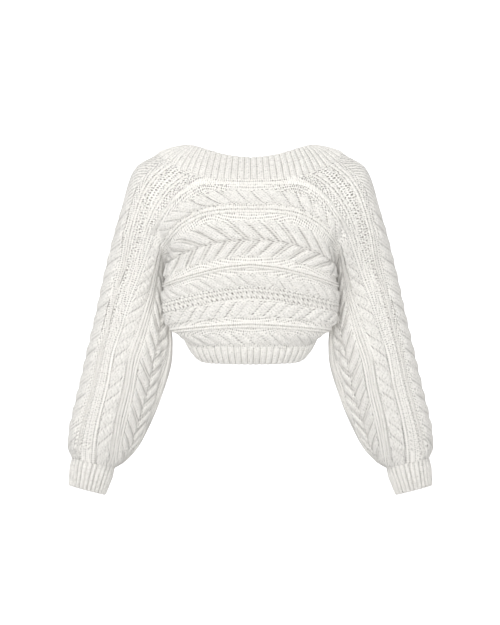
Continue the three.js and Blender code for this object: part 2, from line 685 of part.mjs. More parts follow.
function back(name) {
  const shell = new Shell();
  const last = BACK_ROWS_ALL.length - 1;
  const runs = BACK_ROWS_ALL.map((r) => measured((w) => backSurface(w, r.angle), 0, 6));
  const lengthOf = bandLengths(BACK_ROWS_ALL,
    (r) => 2 * runs[BACK_ROWS_ALL.indexOf(r)].length);

  const seamSpot = (v, face, extra) => {
    const p = standBack(v, -1);
    if (extra) p.addScaledVector(extra.side, -SEAM_GAP / 2);
    return lifted(p, v.n, face);
  };
  const end = (angle, face) => {
    if (angle < CORNER) return seamSpot(onArmhole(angle), face);
    if (angle === CORNER) return seamSpot(onArmhole(angle), face, onRing(CORNER_RING));
    return seamSpot(onRing(sideRing(angle)), face);
  };
  const mirroredLine = (half) => {
    const left = half.slice(1).reverse().map((p) => shell.add(flipX(p)));
    return markedByLength(shell, [...left, ...half.map((p) => shell.add(p))]);
  };
  const topLine = (face) => mirroredLine([
    ...NECK_MARKS.slice(0, -1).map((t) => seamSpot(onRing(t), face)),
    ...SLEEVE_SEAM.slice(0, RAGLAN_COUNT + 1)
      .map((v, i) => seamSpot(v, face, i === 0 ? onRing(2) : null)),
  ]);
  const hemLine = (face) => mirroredLine([
    ...[...HEM_MARKS].reverse().map((t) => seamSpot(onRing(t), face)),
    seamSpot(onRing(HEM_FROM), face),
  ]);
  const spot = (r, run, u, height) => {
    const w = run.at(Math.min(1, Math.abs(2 * u - 1)));
    const n = outward(backSurface, w, r.angle);
    const p = lifted(backSurface(w, r.angle), n, height);
    return u < 0.5 ? flipX(p) : p;
  };
  const buildRow = (i, face, relief) => {
    if (i === 0) return topLine(face);
    if (i === last) return hemLine(face);
    const r = BACK_ROWS_ALL[i];
    const row = relief ? r : plainRow(r.angle);
    const list = stations(row, relief ? lengthOf(r) : 2 * runs[i].length, 1);
    return list.map(({ share, rise }, k) => {
      if (k === 0) return { id: shell.add(flipX(end(r.angle, face))), mark: 0 };
      if (k === list.length - 1) return { id: shell.add(end(r.angle, face)), mark: 1 };
      return { id: shell.add(spot(r, runs[i], share, face + RELIEF * rise)), mark: share };
    });
  };

  const all = BACK_ROWS_ALL.map((_, i) => i);
  const outer = all.map((i) => buildRow(i, FACE, true));
  const inner = BACK_INSIDE.map((i) => buildRow(i, LINING, false));
  for (let i = 0; i < last; i++) joinRows(shell, BACK_ROWS_ALL, outer, i);
  for (let i = 0; i < BACK_INSIDE.length - 1; i++) shell.strip(inner[i + 1], inner[i]);
  const ends = (lines, kept, pick) => kept.map((k, i) => ({ id: pick(lines[i]).id, mark: k }));
  const lastOf = (line) => line[line.length - 1];
  const firstOf = (line) => line[0];
  shell.rim(inner[0], outer[0]);
  shell.rim(lastOf(outer), lastOf(inner));
  shell.rim(ends(inner, BACK_INSIDE, lastOf), ends(outer, all, lastOf));
  shell.rim(ends(outer, all, firstOf), ends(inner, BACK_INSIDE, firstOf));
  return shell.mesh(name);
}

// ---------------------------------------------------------------- ribs

// The ring carries on past its two middles, mirrored.
function ringMirror(t) {
  if (t < 0) return { t: -t, flip: true };
  if (t > RING_END) return { t: 2 * RING_END - t, flip: true };
  return { t, flip: false };
}

function bandPoint(t, share) {
  const at = ringMirror(t);
  const bow = RIB_BOW * Math.sin(Math.PI * share);
  const p = between(seamPoint(at.t), edgePoint(at.t), share)
    .addScaledVector(seamNormal(at.t), bow);
  return at.flip ? flipX(p) : p;
}

function bandNormal(t, share) {
  const at = ringMirror(t);
  const n = seamNormal(at.t);
  const side = edgePoint(at.t).sub(seamPoint(at.t)).normalize();
  n.addScaledVector(side, 0.14 * (share - 0.5)).normalize();
  return at.flip ? flipX(n) : n;
}

const ribRise = (k, share) => (k % 2 === 1 ? 1 : 0) * RIB_RELIEF * share;

function ribBand(name, from, to, mirrored = false) {
  const shell = new Shell();
  const run = measured((t) => bandPoint(t, 0.5), from, to);
  const count = 2 * Math.round(run.length / RIB_PITCH);
  const fine = Array.from({ length: count + 1 }, (_, k) => run.at(k / count));
  const inset = SEAM_GAP / 2 / run.length;
  fine[0] = run.at(inset);
  fine[count] = run.at(1 - inset);

  // Seam marks of this band, from the ring's own list and its mirror.
  const whole = [
    ...RING_SEAM.slice(1).reverse().map((v) => ({ v, mark: -v.mark, flip: true })),
    ...RING_SEAM.map((v) => ({ v, mark: v.mark, flip: false })),
    ...RING_SEAM.slice(0, -1).reverse()
      .map((v) => ({ v, mark: 2 * RING_END - v.mark, flip: true })),
  ].filter((s) => s.mark > from + 0.02 && s.mark < to - 0.02);
  const seamSpot = (s, face) => {
    const p = lifted(standBack(s.v, 1), s.v.n, face);
    return { id: shell.add(s.flip ? flipX(p) : p), mark: s.mark };
  };
  const endSpot = (t, share, face) => {
    const p = lifted(bandPoint(t, share), bandNormal(t, share), face);
    if (share === 0) {
      const at = ringMirror(t);
      const side = edgePoint(at.t).sub(seamPoint(at.t)).normalize();
      p.addScaledVector(at.flip ? flipX(side) : side, SEAM_GAP / 2);
    }
    return { id: shell.add(p), mark: t };
  };
  const seam = (face, list) => [
    endSpot(fine[0], 0, face),
    ...list.map((s) => seamSpot(s, face)),
    endSpot(fine[count], 0, face),
  ];
  const ribLine = (share, ribShare) => fine.map((t, k) => endSpot(t, share,
    FACE + ribRise(k, ribShare)));
  const outer = [
    seam(FACE, whole), ribLine(0.07, 0.6), ribLine(0.5, 1), ribLine(0.94, 1), ribLine(1, 0.6),
  ];
  const insideMarks = whole.filter((s) => s.v.inside);
  const innerSeam = seam(LINING, insideMarks);
  const innerEdge = [fine[0], ...insideMarks.map((s) => s.mark), fine[count]]
    .map((t) => endSpot(t, 1, LINING));
  for (let i = 0; i < outer.length - 1; i++) shell.strip(outer[i + 1], outer[i]);
  shell.strip(innerSeam, innerEdge);
  shell.rim(innerEdge, outer[4]);
  shell.rim(outer[0], innerSeam);
  const across = (pick) => outer.map((line, i) => ({ id: pick(line).id, mark: i }));
  const inside = (pick) => [
    { id: pick(innerSeam).id, mark: 0 }, { id: pick(innerEdge).id, mark: 4 },
  ];
  const lastOf = (line) => line[line.length - 1];
  const firstOf = (line) => line[0];
  shell.rim(across(lastOf), inside(lastOf));
  shell.rim(inside(firstOf), across(firstOf));
  return shell.mesh(name, mirrored);
}

function cuff(name, mirrored) {
  const shell = new Shell();
  const top = SLEEVE[SLEEVE_END - 1];
  const mix = (a, b, share) => a + (b - a) * share;
  const section = (share) => ({
    out: [0, 1].map((i) => mix(top.out[i], CUFF_END.out[i], share)),
    inn: [0, 1].map((i) => mix(top.inn[i], CUFF_END.inn[i], share)),
    mid: mix(top.mid, CUFF_END.mid, share),
    deep: mix(top.deep, CUFF_END.deep, share) + 2 * Math.sin(Math.PI * share),
  });
  const surface = (share, angle) => ovalPoint(section(share), angle);
  const first = CUFF_SEAM[0].mark;
  const count = 2 * CUFF_RIBS;
  const line = (share, size, height) => {
    const made = [];
    for (let k = 0; k < size; k++) {
      const angle = first + (360 * k) / size;
      const p = lifted(surface(share, angle), outward(surface, share, angle), height(k));
      made.push({ id: shell.add(p), mark: angle });
    }
    return [...made, { id: made[0].id, mark: first + 360 }];
  };
  const seam = (face, kept) => {
    const made = kept.slice(0, -1).map((k) => {
      const v = CUFF_SEAM[k];
      return { id: shell.add(lifted(standBack(v, 1), v.n, face)), mark: v.mark };
    });
    return [...made, { id: made[0].id, mark: first + 360 }];
  };
  const ribs = (ribShare) => (k) => FACE + ribRise(k, ribShare);
  const outer = [
    seam(FACE, SLEEVE_ROWS.map((_, i) => i)),
    line(0.08, count, ribs(0.6)), line(0.5, count, ribs(1)),
    line(0.94, count, ribs(1)), line(1, count, ribs(0.6)),
  ];
  const innerSeam = seam(LINING, SLEEVE_INSIDE);
  const innerEnd = line(1, CUFF_RIBS, () => LINING);
  for (let i = 0; i < outer.length - 1; i++) shell.strip(outer[i + 1], outer[i]);
  shell.strip(innerSeam, innerEnd);
  shell.rim(innerEnd, outer[4]);
  shell.rim(outer[0], innerSeam);
  return shell.mesh(name, mirrored);
}

// ---------------------------------------------------------------- the bolero

const bolero = new THREE.Group();
bolero.name = "knit_bolero";
bolero.add(
  back("back"),
  sleeve("sleeve_right", false),
  sleeve("sleeve_left", true),
  ribBand("collar_band", -RIDGE, RIDGE),
  ribBand("front_band_right", RIDGE, HEM_FROM),
  ribBand("front_band_left", RIDGE, HEM_FROM, true),
  ribBand("hem_band", HEM_FROM, 2 * RING_END - HEM_FROM),
  cuff("cuff_right", false),
  cuff("cuff_left", true),
);

export default bolero;
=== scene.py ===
# %% [markdown]
# # A cable-knit bolero
#
# The garment is cloth all over: a back knitted sideways, two full sleeves, and one rib round the
# whole opening. A subdivided shell with a bump pattern would be quicker to make, but the cables of
# a chunky knit stand up by half a centimetre and show at every edge. So each piece is a net of
# points laid on the same guide rows as its CAD solid. Cables, moss and ribs are real height, and
# only the single stitches are drawn by bump.

import math

import bmesh
import bpy
import numpy as np
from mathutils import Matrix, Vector


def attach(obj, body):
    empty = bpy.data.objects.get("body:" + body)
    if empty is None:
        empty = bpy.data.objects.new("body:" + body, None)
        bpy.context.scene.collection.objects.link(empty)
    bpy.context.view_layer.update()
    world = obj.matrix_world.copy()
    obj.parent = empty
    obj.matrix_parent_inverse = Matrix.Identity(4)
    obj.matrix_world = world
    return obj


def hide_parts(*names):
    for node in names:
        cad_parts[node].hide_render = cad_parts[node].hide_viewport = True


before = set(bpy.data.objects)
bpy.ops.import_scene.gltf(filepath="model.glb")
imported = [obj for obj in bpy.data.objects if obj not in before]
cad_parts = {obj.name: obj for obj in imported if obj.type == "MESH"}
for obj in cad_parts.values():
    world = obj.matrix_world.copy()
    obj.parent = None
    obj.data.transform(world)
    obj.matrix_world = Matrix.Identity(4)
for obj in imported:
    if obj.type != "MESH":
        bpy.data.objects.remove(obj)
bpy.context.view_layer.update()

# %% [markdown]
# ## The wall
#
# Everything is in millimetres in the part's own frame: +Z up, -Y the wearer's back, +X the
# wearer's right. A net turns to metres only when it becomes a mesh. The cloth could be one face
# with a Solidify modifier, but then the inside would copy every cable. It is a wall with its own
# plain inside instead, and the cables stand up from its outer face.

# %% Wall sizes
MM = 0.001  # metres in a millimetre
WALL = 3.0  # plain ground of the cloth
GROUND = -2.4  # from the guide rows to the ground's outer face
RELIEF = 5.2  # how far a cable stands above the ground
print("Wall:", WALL, "mm in the ground, up to", WALL + RELIEF, "mm in a cable")

# %% [markdown]
# ## Smooth curves
#
# A knitter shapes a piece row by row. Here a row is a smooth curve through a few guide points, and
# a piece is a smooth blend of its rows. Blender's own curve objects could draw one row, but a net
# has to be asked for points anywhere on it, so the curves are a few lines of arithmetic.

# %% Curves through guide points


def slopes(knots, values):
    """Slope of the smooth curve at each knot, from the straight steps on both sides of it."""
    step = np.diff(knots).reshape((-1,) + (1,) * (values.ndim - 1))
    rise = np.diff(values, axis=0) / step
    middle = (rise[:-1] * step[1:] + rise[1:] * step[:-1]) / (step[:-1] + step[1:])
    return np.concatenate([rise[:1], middle, rise[-1:]])


def blend(values, slope, here, after, step, t):
    """Points of a smooth curve between two of its knots, at share t of the way."""
    return (
        values[here] * (2 * t**3 - 3 * t**2 + 1)
        + slope[here] * (t**3 - 2 * t**2 + t) * step
        + values[after] * (3 * t**2 - 2 * t**3)
        + slope[after] * (t**3 - t**2) * step
    )


def curve(knots, values, x):
    """Points of the curve at every x; the answer has x's length as its first side."""
    knots = np.asarray(knots, float)
    values = np.asarray(values, float)
    x = np.atleast_1d(np.asarray(x, float))
    i = np.clip(np.searchsorted(knots, x, side="left") - 1, 0, len(knots) - 2)
    shape = (-1,) + (1,) * (values.ndim - 1)
    step = (knots[i + 1] - knots[i]).reshape(shape)
    t = (x - knots[i]).reshape(shape) / step
    return blend(values, slopes(knots, values), i, i + 1, step, t)


def along(knots, net, w):
    """Points on many rows at once: net is stations x rows x 3, and w is rows x places."""
    knots = np.asarray(knots, float)
    i = np.clip(np.searchsorted(knots, w, side="left") - 1, 0, len(knots) - 2)
    step = (knots[i + 1] - knots[i])[..., None]
    t = (w - knots[i])[..., None] / step
    row = np.broadcast_to(np.arange(w.shape[0])[:, None], w.shape)
    return blend(net, slopes(knots, net), (i, row), (i + 1, row), step, t)


# %% Directions and lengths


def unit(v):
    """The same directions with a length of 1."""
    return v / np.maximum(np.linalg.norm(v, axis=-1, keepdims=True), 1e-9)


def smooth(x, low, high):
    """From 0 at low to 1 at high, without a corner at either."""
    t = np.clip((x - low) / (high - low), 0, 1)
    return t * t * (3 - 2 * t)


def bell(x, width):
    """From 1 at x = 0 to nearly nothing at twice the width."""
    return np.exp(-((x / width) ** 2))


def between(x, known, points):
    """Points at every x on the straight lines between known ones."""
    return np.stack([np.interp(x, known, points[:, k]) for k in range(3)], -1)


def runs(points):
    """Length along the first side of a line or a net of points, from 0 at its start."""
    steps = np.linalg.norm(np.diff(points, axis=0), axis=-1)
    return np.concatenate([np.zeros_like(steps[:1]), np.cumsum(steps, axis=0)])


# %% [markdown]
# ## The rib ring
#
# One rib goes round the back neck, down both fronts and across the hem. It is sewn to the garment
# along one edge and free along the other. Each edge is a curve through points from the middle of
# the neck, place 0, to the middle of the hem, place 16. The other half is its mirror image. A rib
# could be bevelled along one curve, but it leans differently at the neck and at the hem, so both
# of its edges are given.

# %% The sewn edge and the free edge
RING_SEAM = np.array([
    [0, -88, -70], [50, -86, -68], [93, -80, -63], [130, -60, -48], [159, -32, -31],
    [176, 5, -17], [170, 42, -38], [158, 72, -80], [150, 88, -130], [148, 86, -185],
    [150, 64, -235], [151, 28, -268], [142, -4, -301], [133, -34, -336], [110, -74, -375],
    [60, -96, -377], [0, -104, -377],
], float)
RING_EDGE = np.array([
    [0, -62, -27], [43, -60, -22], [78, -50, -12], [102, -30, -4], [115, -8, -1],
    [119, 14, -3], [116, 46, -20], [108, 80, -66], [99, 98, -122], [97, 98, -182],
    [102, 78, -240], [109, 45, -290], [109, 8, -338], [109, -26, -374], [93, -62, -404],
    [52, -86, -409], [0, -93, -410],
], float)
RING_KNOTS = np.arange(17.0)
RING_END = 16.0
RING_STEP = 0.05  # to measure directions over
RIDGE = 5.0  # place on the ring where the neck rib meets the front rib, over the shoulder
HEM_FROM = 14.0  # and where the front rib meets the hem rib
RING_FINE = 400  # points to measure a curve with


def ring_seam(t):
    """Points of the sewn edge at places on the ring."""
    return curve(RING_KNOTS, RING_SEAM, t)


def ring_edge(t):
    """Points of the free edge at places on the ring."""
    return curve(RING_KNOTS, RING_EDGE, t)


def ring_normal(t):
    """Outward direction at the sewn edge."""
    t = np.atleast_1d(np.asarray(t, float))
    after, before = np.minimum(t + RING_STEP, RING_END), np.maximum(t - RING_STEP, 0)
    run = ring_seam(after) - ring_seam(before)
    return unit(np.cross(run, ring_edge(t) - ring_seam(t)))


HALF_RING = runs(ring_seam(np.linspace(0, RING_END, RING_FINE)))[-1]
print("Half of the ring's sewn edge, mm:", HALF_RING.round())

# %% [markdown]
# ## Guide rows of the back
#
# The rows of the back run sideways, from the spine to the armhole, as the cables do, and droop
# towards the sides. A row is known by its row angle: 65 at the raglan line under the neck rib,
# 166 where the armhole ends, and 245 at the hem rib. The sleeve uses the same angles, so that the
# cables run on across the seam. How far back each row lies is read from level slices of the
# body's form.

# %% Form of the back
# Level slices: height, half-width, depth at the side, depth at the spine.
BACK_SLICES = np.array([
    [-377, 118, -66, -104], [-344, 146, -56, -112], [-304, 162, -50, -116],
    [-264, 165, -50, -119], [-225, 168, -50, -120], [-195, 185, -38, -118],
    [-165, 222, -15, -115], [-130, 236, -2, -109], [-95, 225, 0, -98], [-60, 205, 0, -85],
], float)
SIDE_POWER = 2.4  # how square the slices are


def back_depth(x, z):
    """How far back the body's form lies at a width and a height."""
    half, side, spine = curve(BACK_SLICES[:, 0], BACK_SLICES[:, 1:], z)[0]
    share = min(1, abs(x) / half) ** SIDE_POWER
    return side + (spine - side) * (1 - share) ** (1 / SIDE_POWER)


# %% Rows of the back
TOP_ANGLE = 65.0
CORNER = 166.0  # the row where the armhole meets the rib ring
HEM_ANGLE = 245.0
CORNER_RING = 11.3  # and its place on the ring

# Row angle, height at the spine, droop power, side turn, and end: a point of the armhole seam or
# a place on the ring.
BACK_ROWS = [
    (72, -87, 3.8, (170, -83, -162), (178, -80, -174)),
    (96, -124.5, 3.7, (157, -82, -186), (164, -76, -197)),
    (110, -149, 3.1, (152, -75, -201), (163, -59, -213)),
    (127, -181, 2.4, (155, -57, -223), (156, -31, -235)),
    (157.5, -226.5, 1.6, (162, -50, -263), (153, 3, -265)),
    (166, -241, 1.55, (163, -50, -274), CORNER_RING),
    (188, -278, 1.5, (161, -50, -304), 12),
    (220.5, -335.5, 1.5, (147, -58, -347), 13),
    (245, -377, 1.5, (100, -81, -377), 14),
]
ROW_SHARES = (0, 0.3, 0.58, 0.8, 0.94)  # of the way to the side turn
STATIONS = np.arange(7.0)


def back_guide(spine, power, turn, end):
    """The seven guide points of a row, from the spine to its end."""
    points = []
    for share in ROW_SHARES:
        x = turn[0] * share
        z = spine + (turn[2] - spine) * share**power
        points.append((x, back_depth(x, z), z))
    end = ring_seam(end)[0] if np.isscalar(end) else np.array(end, float)
    return np.array([*points, turn, end], float)


# %% The raglan line
RAGLAN_FROM = 2  # place on the ring where the raglan line leaves the neck rib
RAGLAN_END = (186, -78, -168)
RAGLAN_POWER = 1.75
RAGLAN_SHARES = (0.45, 0.75, 0.9)


def raglan_guide():
    """The first row: along the neck rib, then down the raglan line to the armhole."""
    corner = ring_seam(RAGLAN_FROM)[0]
    end = np.array(RAGLAN_END, float)
    below = []
    for share in RAGLAN_SHARES:
        x = corner[0] + (end[0] - corner[0]) * share
        z = corner[2] + (end[2] - corner[2]) * share**RAGLAN_POWER
        below.append((x, back_depth(x, z), z))
    return np.array([ring_seam(0)[0], ring_seam(1)[0], corner, *below, end], float)


RAGLAN = raglan_guide()
BACK_KNOTS = np.array([TOP_ANGLE] + [r[0] for r in BACK_ROWS])
BACK_NET = np.array([RAGLAN] + [back_guide(*r[1:]) for r in BACK_ROWS])
print("Guide net of half the back:", BACK_NET.shape[:2])

# %% [markdown]
# ## Guide rows round the arm
#
# The sleeve's rows go on round the arm: 0 lies outside, 90 behind, 180 under the arm and 270 in
# front. Behind, they start from the back's own rows at the armhole. In front there is no separate
# piece: the sleeve wraps over the shoulder and is sewn to the front rib, so each of those rows
# has a point on the ring, one on the shoulder and one on the armhole line.

# %% Rows of the shoulder and front
# Row angle, place on the ring, shoulder point, armhole point.
FRONT_ROWS = [
    (180, 11, (152, 29, -269), (155, 29, -273)),
    (210, 10.2, (154, 55, -248), (159, 50, -258)),
    (240, 9.1, (158, 80, -200), (172, 70, -231)),
    (270, 8, (170, 87, -148), (192, 79, -203)),
    (300, 7, (190, 73, -108), (219, 68, -178)),
    (330, 5.9, (211, 40, -66), (241, 42, -155)),
    (360, 5, (221, 8, -51), (249, 8, -146)),
    (380, 4.6, (217, -20, -55), (244, -22, -149)),
    (404, 4, (203, -48, -77), (229, -50, -158)),
]

ARM_ROWS = [(a, net[6]) for a, net in zip(BACK_KNOTS, BACK_NET) if a <= CORNER]
ARM_ROWS += [(r[0], r[3]) for r in FRONT_ROWS]
ARM_KNOTS = np.array([a + turn for turn in (-360, 0, 360) for a, _ in ARM_ROWS])
ARM_POINTS = np.array([p for _ in range(3) for _, p in ARM_ROWS], float)

CAP_KNOTS = np.array([CORNER] + [r[0] for r in FRONT_ROWS] + [TOP_ANGLE + 360])
CAP_RINGS = np.array([CORNER_RING] + [r[1] for r in FRONT_ROWS] + [RAGLAN_FROM])
CAP_POINTS = np.array(
    [ring_seam(CORNER_RING)[0]] + [r[2] for r in FRONT_ROWS] + [curve(STATIONS, RAGLAN, 4)[0]]
)

SIDE_KNOTS = np.array([r[0] for r in BACK_ROWS if np.isscalar(r[4])])
SIDE_RINGS = np.array([r[4] for r in BACK_ROWS if np.isscalar(r[4])], float)


def arm_point(angle):
    """Points of the armhole seam at row angles."""
    return curve(ARM_KNOTS, ARM_POINTS, angle)


def cap_ring(angle):
    """Place on the ring where a row of the shoulder or front is sewn to it."""
    return curve(CAP_KNOTS, CAP_RINGS[:, None], angle)[:, 0]


def side_ring(angle):
    """Place on the ring where a row of the back below the armhole is sewn to it."""
    return curve(SIDE_KNOTS, SIDE_RINGS[:, None], angle)[:, 0]


print("Armhole, mm round:", runs(arm_point(np.linspace(0, 360, RING_FINE)))[-1].round())

# %% [markdown]
# ## The sleeve
#
# A bishop sleeve: full to the wrist, then gathered into a narrow cuff. A tube could be lofted
# through circles, but this one is wider than it is deep, and its rows crowd together on the inner
# side, most of all at the cuff. So each section is an oval between an outer and an inner point,
# with a number for the crowding.

# %% Sections of the sleeve
# Outer x, z; inner x, z; middle depth, half depth, gather.
SLEEVE = np.array([
    [264, -202, 158, -293, 10, 60, 1.3], [277, -258, 151, -328, 12, 63, 1.2],
    [290, -318, 143, -368, 16, 67, 1.05], [304, -378, 145, -412, 20, 70, 1],
    [318, -438, 161, -465, 25, 69, 1.05], [331, -491, 182, -515, 30, 64, 1.15],
    [341, -537, 207, -560, 34, 55, 1.45], [344, -566, 231, -590, 36, 44, 2],
    [337, -585, 251, -605, 37, 34, 2.4],
], float)
CUFF_END = np.array([340, -637, 271, -655, 41, 28], float)
SLEEVE_KNOTS = np.arange(-2.0, 10.0)  # -2 at the ring, 0 at the armhole, then the sections
SLEEVE_END = 9.0
GATHER_FROM = 50.0  # rows within this angle of the outside keep their places

# How far the rows drift towards the body on the back of the arm, at each section.
DRIFT = [17, 9, 3, -2, 0, 0, 0, 0, 0]


def gathered(angle, gather):
    """Where a row lies round a section, when the rows inside crowd together."""
    half = np.where(angle > 180, 360 - angle, angle)
    room = 180 - GATHER_FROM
    inside = np.clip(1 - (half - GATHER_FROM) / room, 0, 1)
    drawn = np.where(half <= GATHER_FROM, half, GATHER_FROM + room * (1 - inside**gather))
    return np.where(angle > 180, 360 - drawn, drawn)


def oval(section, angle):
    """Points round a section, at row angles."""
    out_x, out_z, in_x, in_z, mid, deep = section[:6]
    turned = np.radians(angle)
    c = np.cos(turned) / 2
    return np.stack([
        (out_x + in_x) / 2 + (out_x - in_x) * c,
        mid - deep * np.sin(turned),
        (out_z + in_z) / 2 + (out_z - in_z) * c,
    ], axis=-1)


SLEEVE_AXIS = np.array([(oval(s, 0) + oval(s, 180)) / 2 for s in SLEEVE])
print("Sleeve from the first section to the last, mm:", runs(SLEEVE_AXIS)[-1].round())

# %% The sleeve's net


def sleeve_net(angles):
    """Guide points of the sleeve's rows: 12 stations from -2 to 9, for every angle."""
    behind = angles <= CORNER
    turn = angles % 360
    rings = [oval(s, gathered(turn + drift * np.sin(np.radians(turn)), s[6]))
             for s, drift in zip(SLEEVE, DRIFT)]
    arm = arm_point(angles)
    back_turn = curve(BACK_KNOTS, BACK_NET[:, 5], angles)
    seam = ring_seam(cap_ring(angles))
    cap = curve(CAP_KNOTS, CAP_POINTS, angles)
    before = np.where(behind[:, None], back_turn, cap)
    first = np.where(behind[:, None], 2 * back_turn - arm, seam)
    return np.array([first, before, arm, *rings])


# %% [markdown]
# ## Folds
#
# Full sleeves fall in a few long, soft folds, and the cuff draws the cloth into gathers. A cloth
# simulation would crease this thick knit as if it were thin, so each fold is listed: a trough from
# one place on the arm to another, pressed towards the sleeve's middle.

# %% Folds and gathers
# Row angle and place at each end, half-width in row angle, depth.
FOLDS = [
    (49, 1.2, 49, 8.8, 7, 2.4),
    (68, 2.4, 68, 7.8, 5, 2.5),
    (128, 1.8, 166, 7.4, 9, 4),
    (246, 1.6, 212, 7.6, 12, 5),
    (324, 1.4, 304, 7.2, 11, 4),
]
PLEATS = 9  # the gathers above a cuff
PLEATS_FROM = 6.8
PLEAT_DEPTH = 2.4


def fold_depth(turn, w):
    """How deep the folds and gathers lie at each place of the sleeve."""
    depth = np.zeros(w.shape)
    for first, start, last, end, width, deep in FOLDS:
        share = (w - start) / (end - start)
        across = np.abs(turn - (first + (last - first) * share)) / width
        inside = (share > 0) & (share < 1) & (across < 1)
        swell = np.abs(np.sin(math.pi * share)) ** 0.7 * np.cos(math.pi / 2 * across) ** 2
        depth += np.where(inside, deep * swell, 0)
    share = np.clip((w - PLEATS_FROM) / (SLEEVE_END - PLEATS_FROM), 0, 1)
    wave = 0.5 - 0.5 * np.cos(PLEATS * np.radians(turn))
    return depth + PLEAT_DEPTH * wave * np.sin(math.pi * share)


def plain_sleeve(angles, w):
    """Points of the sleeve at rows x places, before the raglan seam draws its last rows in."""
    net = sleeve_net(angles)
    whole = along(SLEEVE_KNOTS, net, w)
    short = along(SLEEVE_KNOTS[1:], net[1:], w)
    points = np.where((angles <= CORNER)[:, None, None], short, whole)
    middle = curve(SLEEVE_KNOTS[3:], SLEEVE_AXIS, np.clip(w, 1, SLEEVE_END).ravel())
    inwards = unit(middle.reshape(points.shape) - points)
    turn = (angles % 360)[:, None]
    turn = turn + np.interp(w, SLEEVE_KNOTS[2:], [0] + DRIFT) * np.sin(np.radians(turn))
    return points + inwards * fold_depth(turn, w)[..., None]


# %% [markdown]
# ## Seams
#
# Where two pieces are sewn together, both have to end on one line. The rows near a seam are drawn
# onto it, the nearest row most. This keeps the surface smooth, where moving only the last row
# would leave a crease.

# %% The raglan seam
RAGLAN_REACH = 30.0  # row angle over which the seam draws the sleeve in


def seam_pull(w):
    """How far the last row is moved at each place, onto the raglan seam and the first row."""
    flat = w.reshape(1, -1)
    first = plain_sleeve(np.array([TOP_ANGLE]), np.maximum(flat, 0))[0]
    raglan = curve(STATIONS, RAGLAN, np.minimum(2 * flat[0] + 6, 6))
    line = np.where((flat[0] < 0)[:, None], raglan, first)
    pull = line - plain_sleeve(np.array([TOP_ANGLE + 360]), flat)[0]
    return pull.reshape(w.shape + (3,))


def sleeve_place(angles, w):
    """Points of the finished sleeve at rows x places."""
    near = np.clip(1 - (TOP_ANGLE + 360 - angles) / RAGLAN_REACH, 0, 1)[:, None, None] ** 2
    return plain_sleeve(angles, w) + seam_pull(w) * near


# %% The hem seam
HEM_PULL_FROM = 205.0  # row angle where the hem rib starts to draw the back in


def back_net(angles):
    """Guide points of the back's rows: 7 stations from the spine to the side."""
    on_arm = (angles <= CORNER)[:, None]
    ends = np.where(on_arm, arm_point(angles), ring_seam(side_ring(angles)))
    net = curve(BACK_KNOTS, BACK_NET[:, :6], angles)
    return np.concatenate([net.transpose(1, 0, 2), ends[None]])


def hem_pull(w):
    """How far the back's last row is moved at each place, onto the edge of the hem rib."""
    last = along(STATIONS, back_net(np.array([HEM_ANGLE])), w.reshape(1, -1))[0]
    edge = ring_seam(np.linspace(RING_END, HEM_FROM, 81))
    onto = between(last[:, 0], edge[:, 0], edge)
    return (onto - last).reshape(w.shape + (3,))


def back_place(angles, w):
    """Points of the finished half back at rows x places."""
    near = np.clip((angles - HEM_PULL_FROM) / (HEM_ANGLE - HEM_PULL_FROM), 0, 1)
    pull = hem_pull(w) * near[:, None, None] ** 2
    return along(STATIONS, back_net(angles), w) + pull


# %% The armhole seam
SEAM_STEPS = (0.06, 0.1)  # stations off the seam, on the sleeve and on the back
ANGLE_STEP = 0.5  # and row angle along it, to measure directions over


def arm_normal(angles):
    """Outward direction at the armhole seam, shared by the back and the sleeve."""
    zero = np.zeros((len(angles), 1))
    seam = arm_point(angles)
    run = arm_point(angles + ANGLE_STEP) - arm_point(angles - ANGLE_STEP)
    onto_sleeve = unit(sleeve_place(angles, zero + SEAM_STEPS[0])[:, 0] - seam)
    onto_back = unit(back_place(angles, zero + STATIONS[-1] - SEAM_STEPS[1])[:, 0] - seam)
    return unit(np.cross(run, onto_sleeve - onto_back))


# %% [markdown]
# ## Stitches at an even distance
#
# The guide points lie wherever the shape needs them, but stitches are all of one size. So the
# places on a row are found by its length.

# %% Even places


def even_places(place, start, end, shares):
    """Turns shares of each row's length into places on it. start and end hold one per row."""
    fine = np.linspace(0, 1, 161)
    w = start[:, None] + (end - start)[:, None] * fine
    run = runs(place(w).swapaxes(0, 1)).T
    total = run[:, -1]
    placed = np.array([
        np.interp(share * length, so_far, row)
        for share, length, so_far, row in zip(shares, total, run, w)
    ])
    return placed, total


# %% [markdown]
# ## Bands of the knitting
#
# The back is a stack of bands: ropes, double lines, moss and one wide herringbone, on a ground of
# purl. The same bands run down the sleeves, and in mirror order on the front of the arm. They
# could be drawn as one tiled picture, but the strands have to meet the seams in the right place
# and stand up at the outline. So each band is a range of row angles, and functions give its
# height.

# %% The bands
# Kind, first and last row angle, pitch, lean, height.
BANDS = [
    ("rope", 5, 41, 29, 1, 1.0),
    ("line", 46, 51, 0, 0, 0.8),
    ("moss", 52.5, 57.5, 26, 1, 0.4),
    ("line", 58, 62, 0, 0, 0.45),
    ("rope", 72, 90, 28, 1, 1.0),
    ("line", 92, 100, 0, 0, 0.6),
    ("herring", 107, 147, 29, 1, 1.0),
    ("line", 154, 161, 0, 0, 0.8),
    ("rope", 166, 181, 22.5, 1, 1.0),
    ("moss", 181, 195, 26, 1, 0.8),
    ("rope", 195, 213, 24, -1, 1.0),
    ("line", 217, 224.5, 0, 0, 0.65),
    ("rope", 229, 243, 24, 1, 0.85),
]
ROLL = ("roll", 66.4, 68.8, 0, 0, 0.3)  # the low ridge beside the collar and the raglan seams
SLEEVE_HERRING = 0.75  # the herringbone is stretched lower on the arm
print("Bands on the back and the raglan line:", [band[0] for band in BANDS])

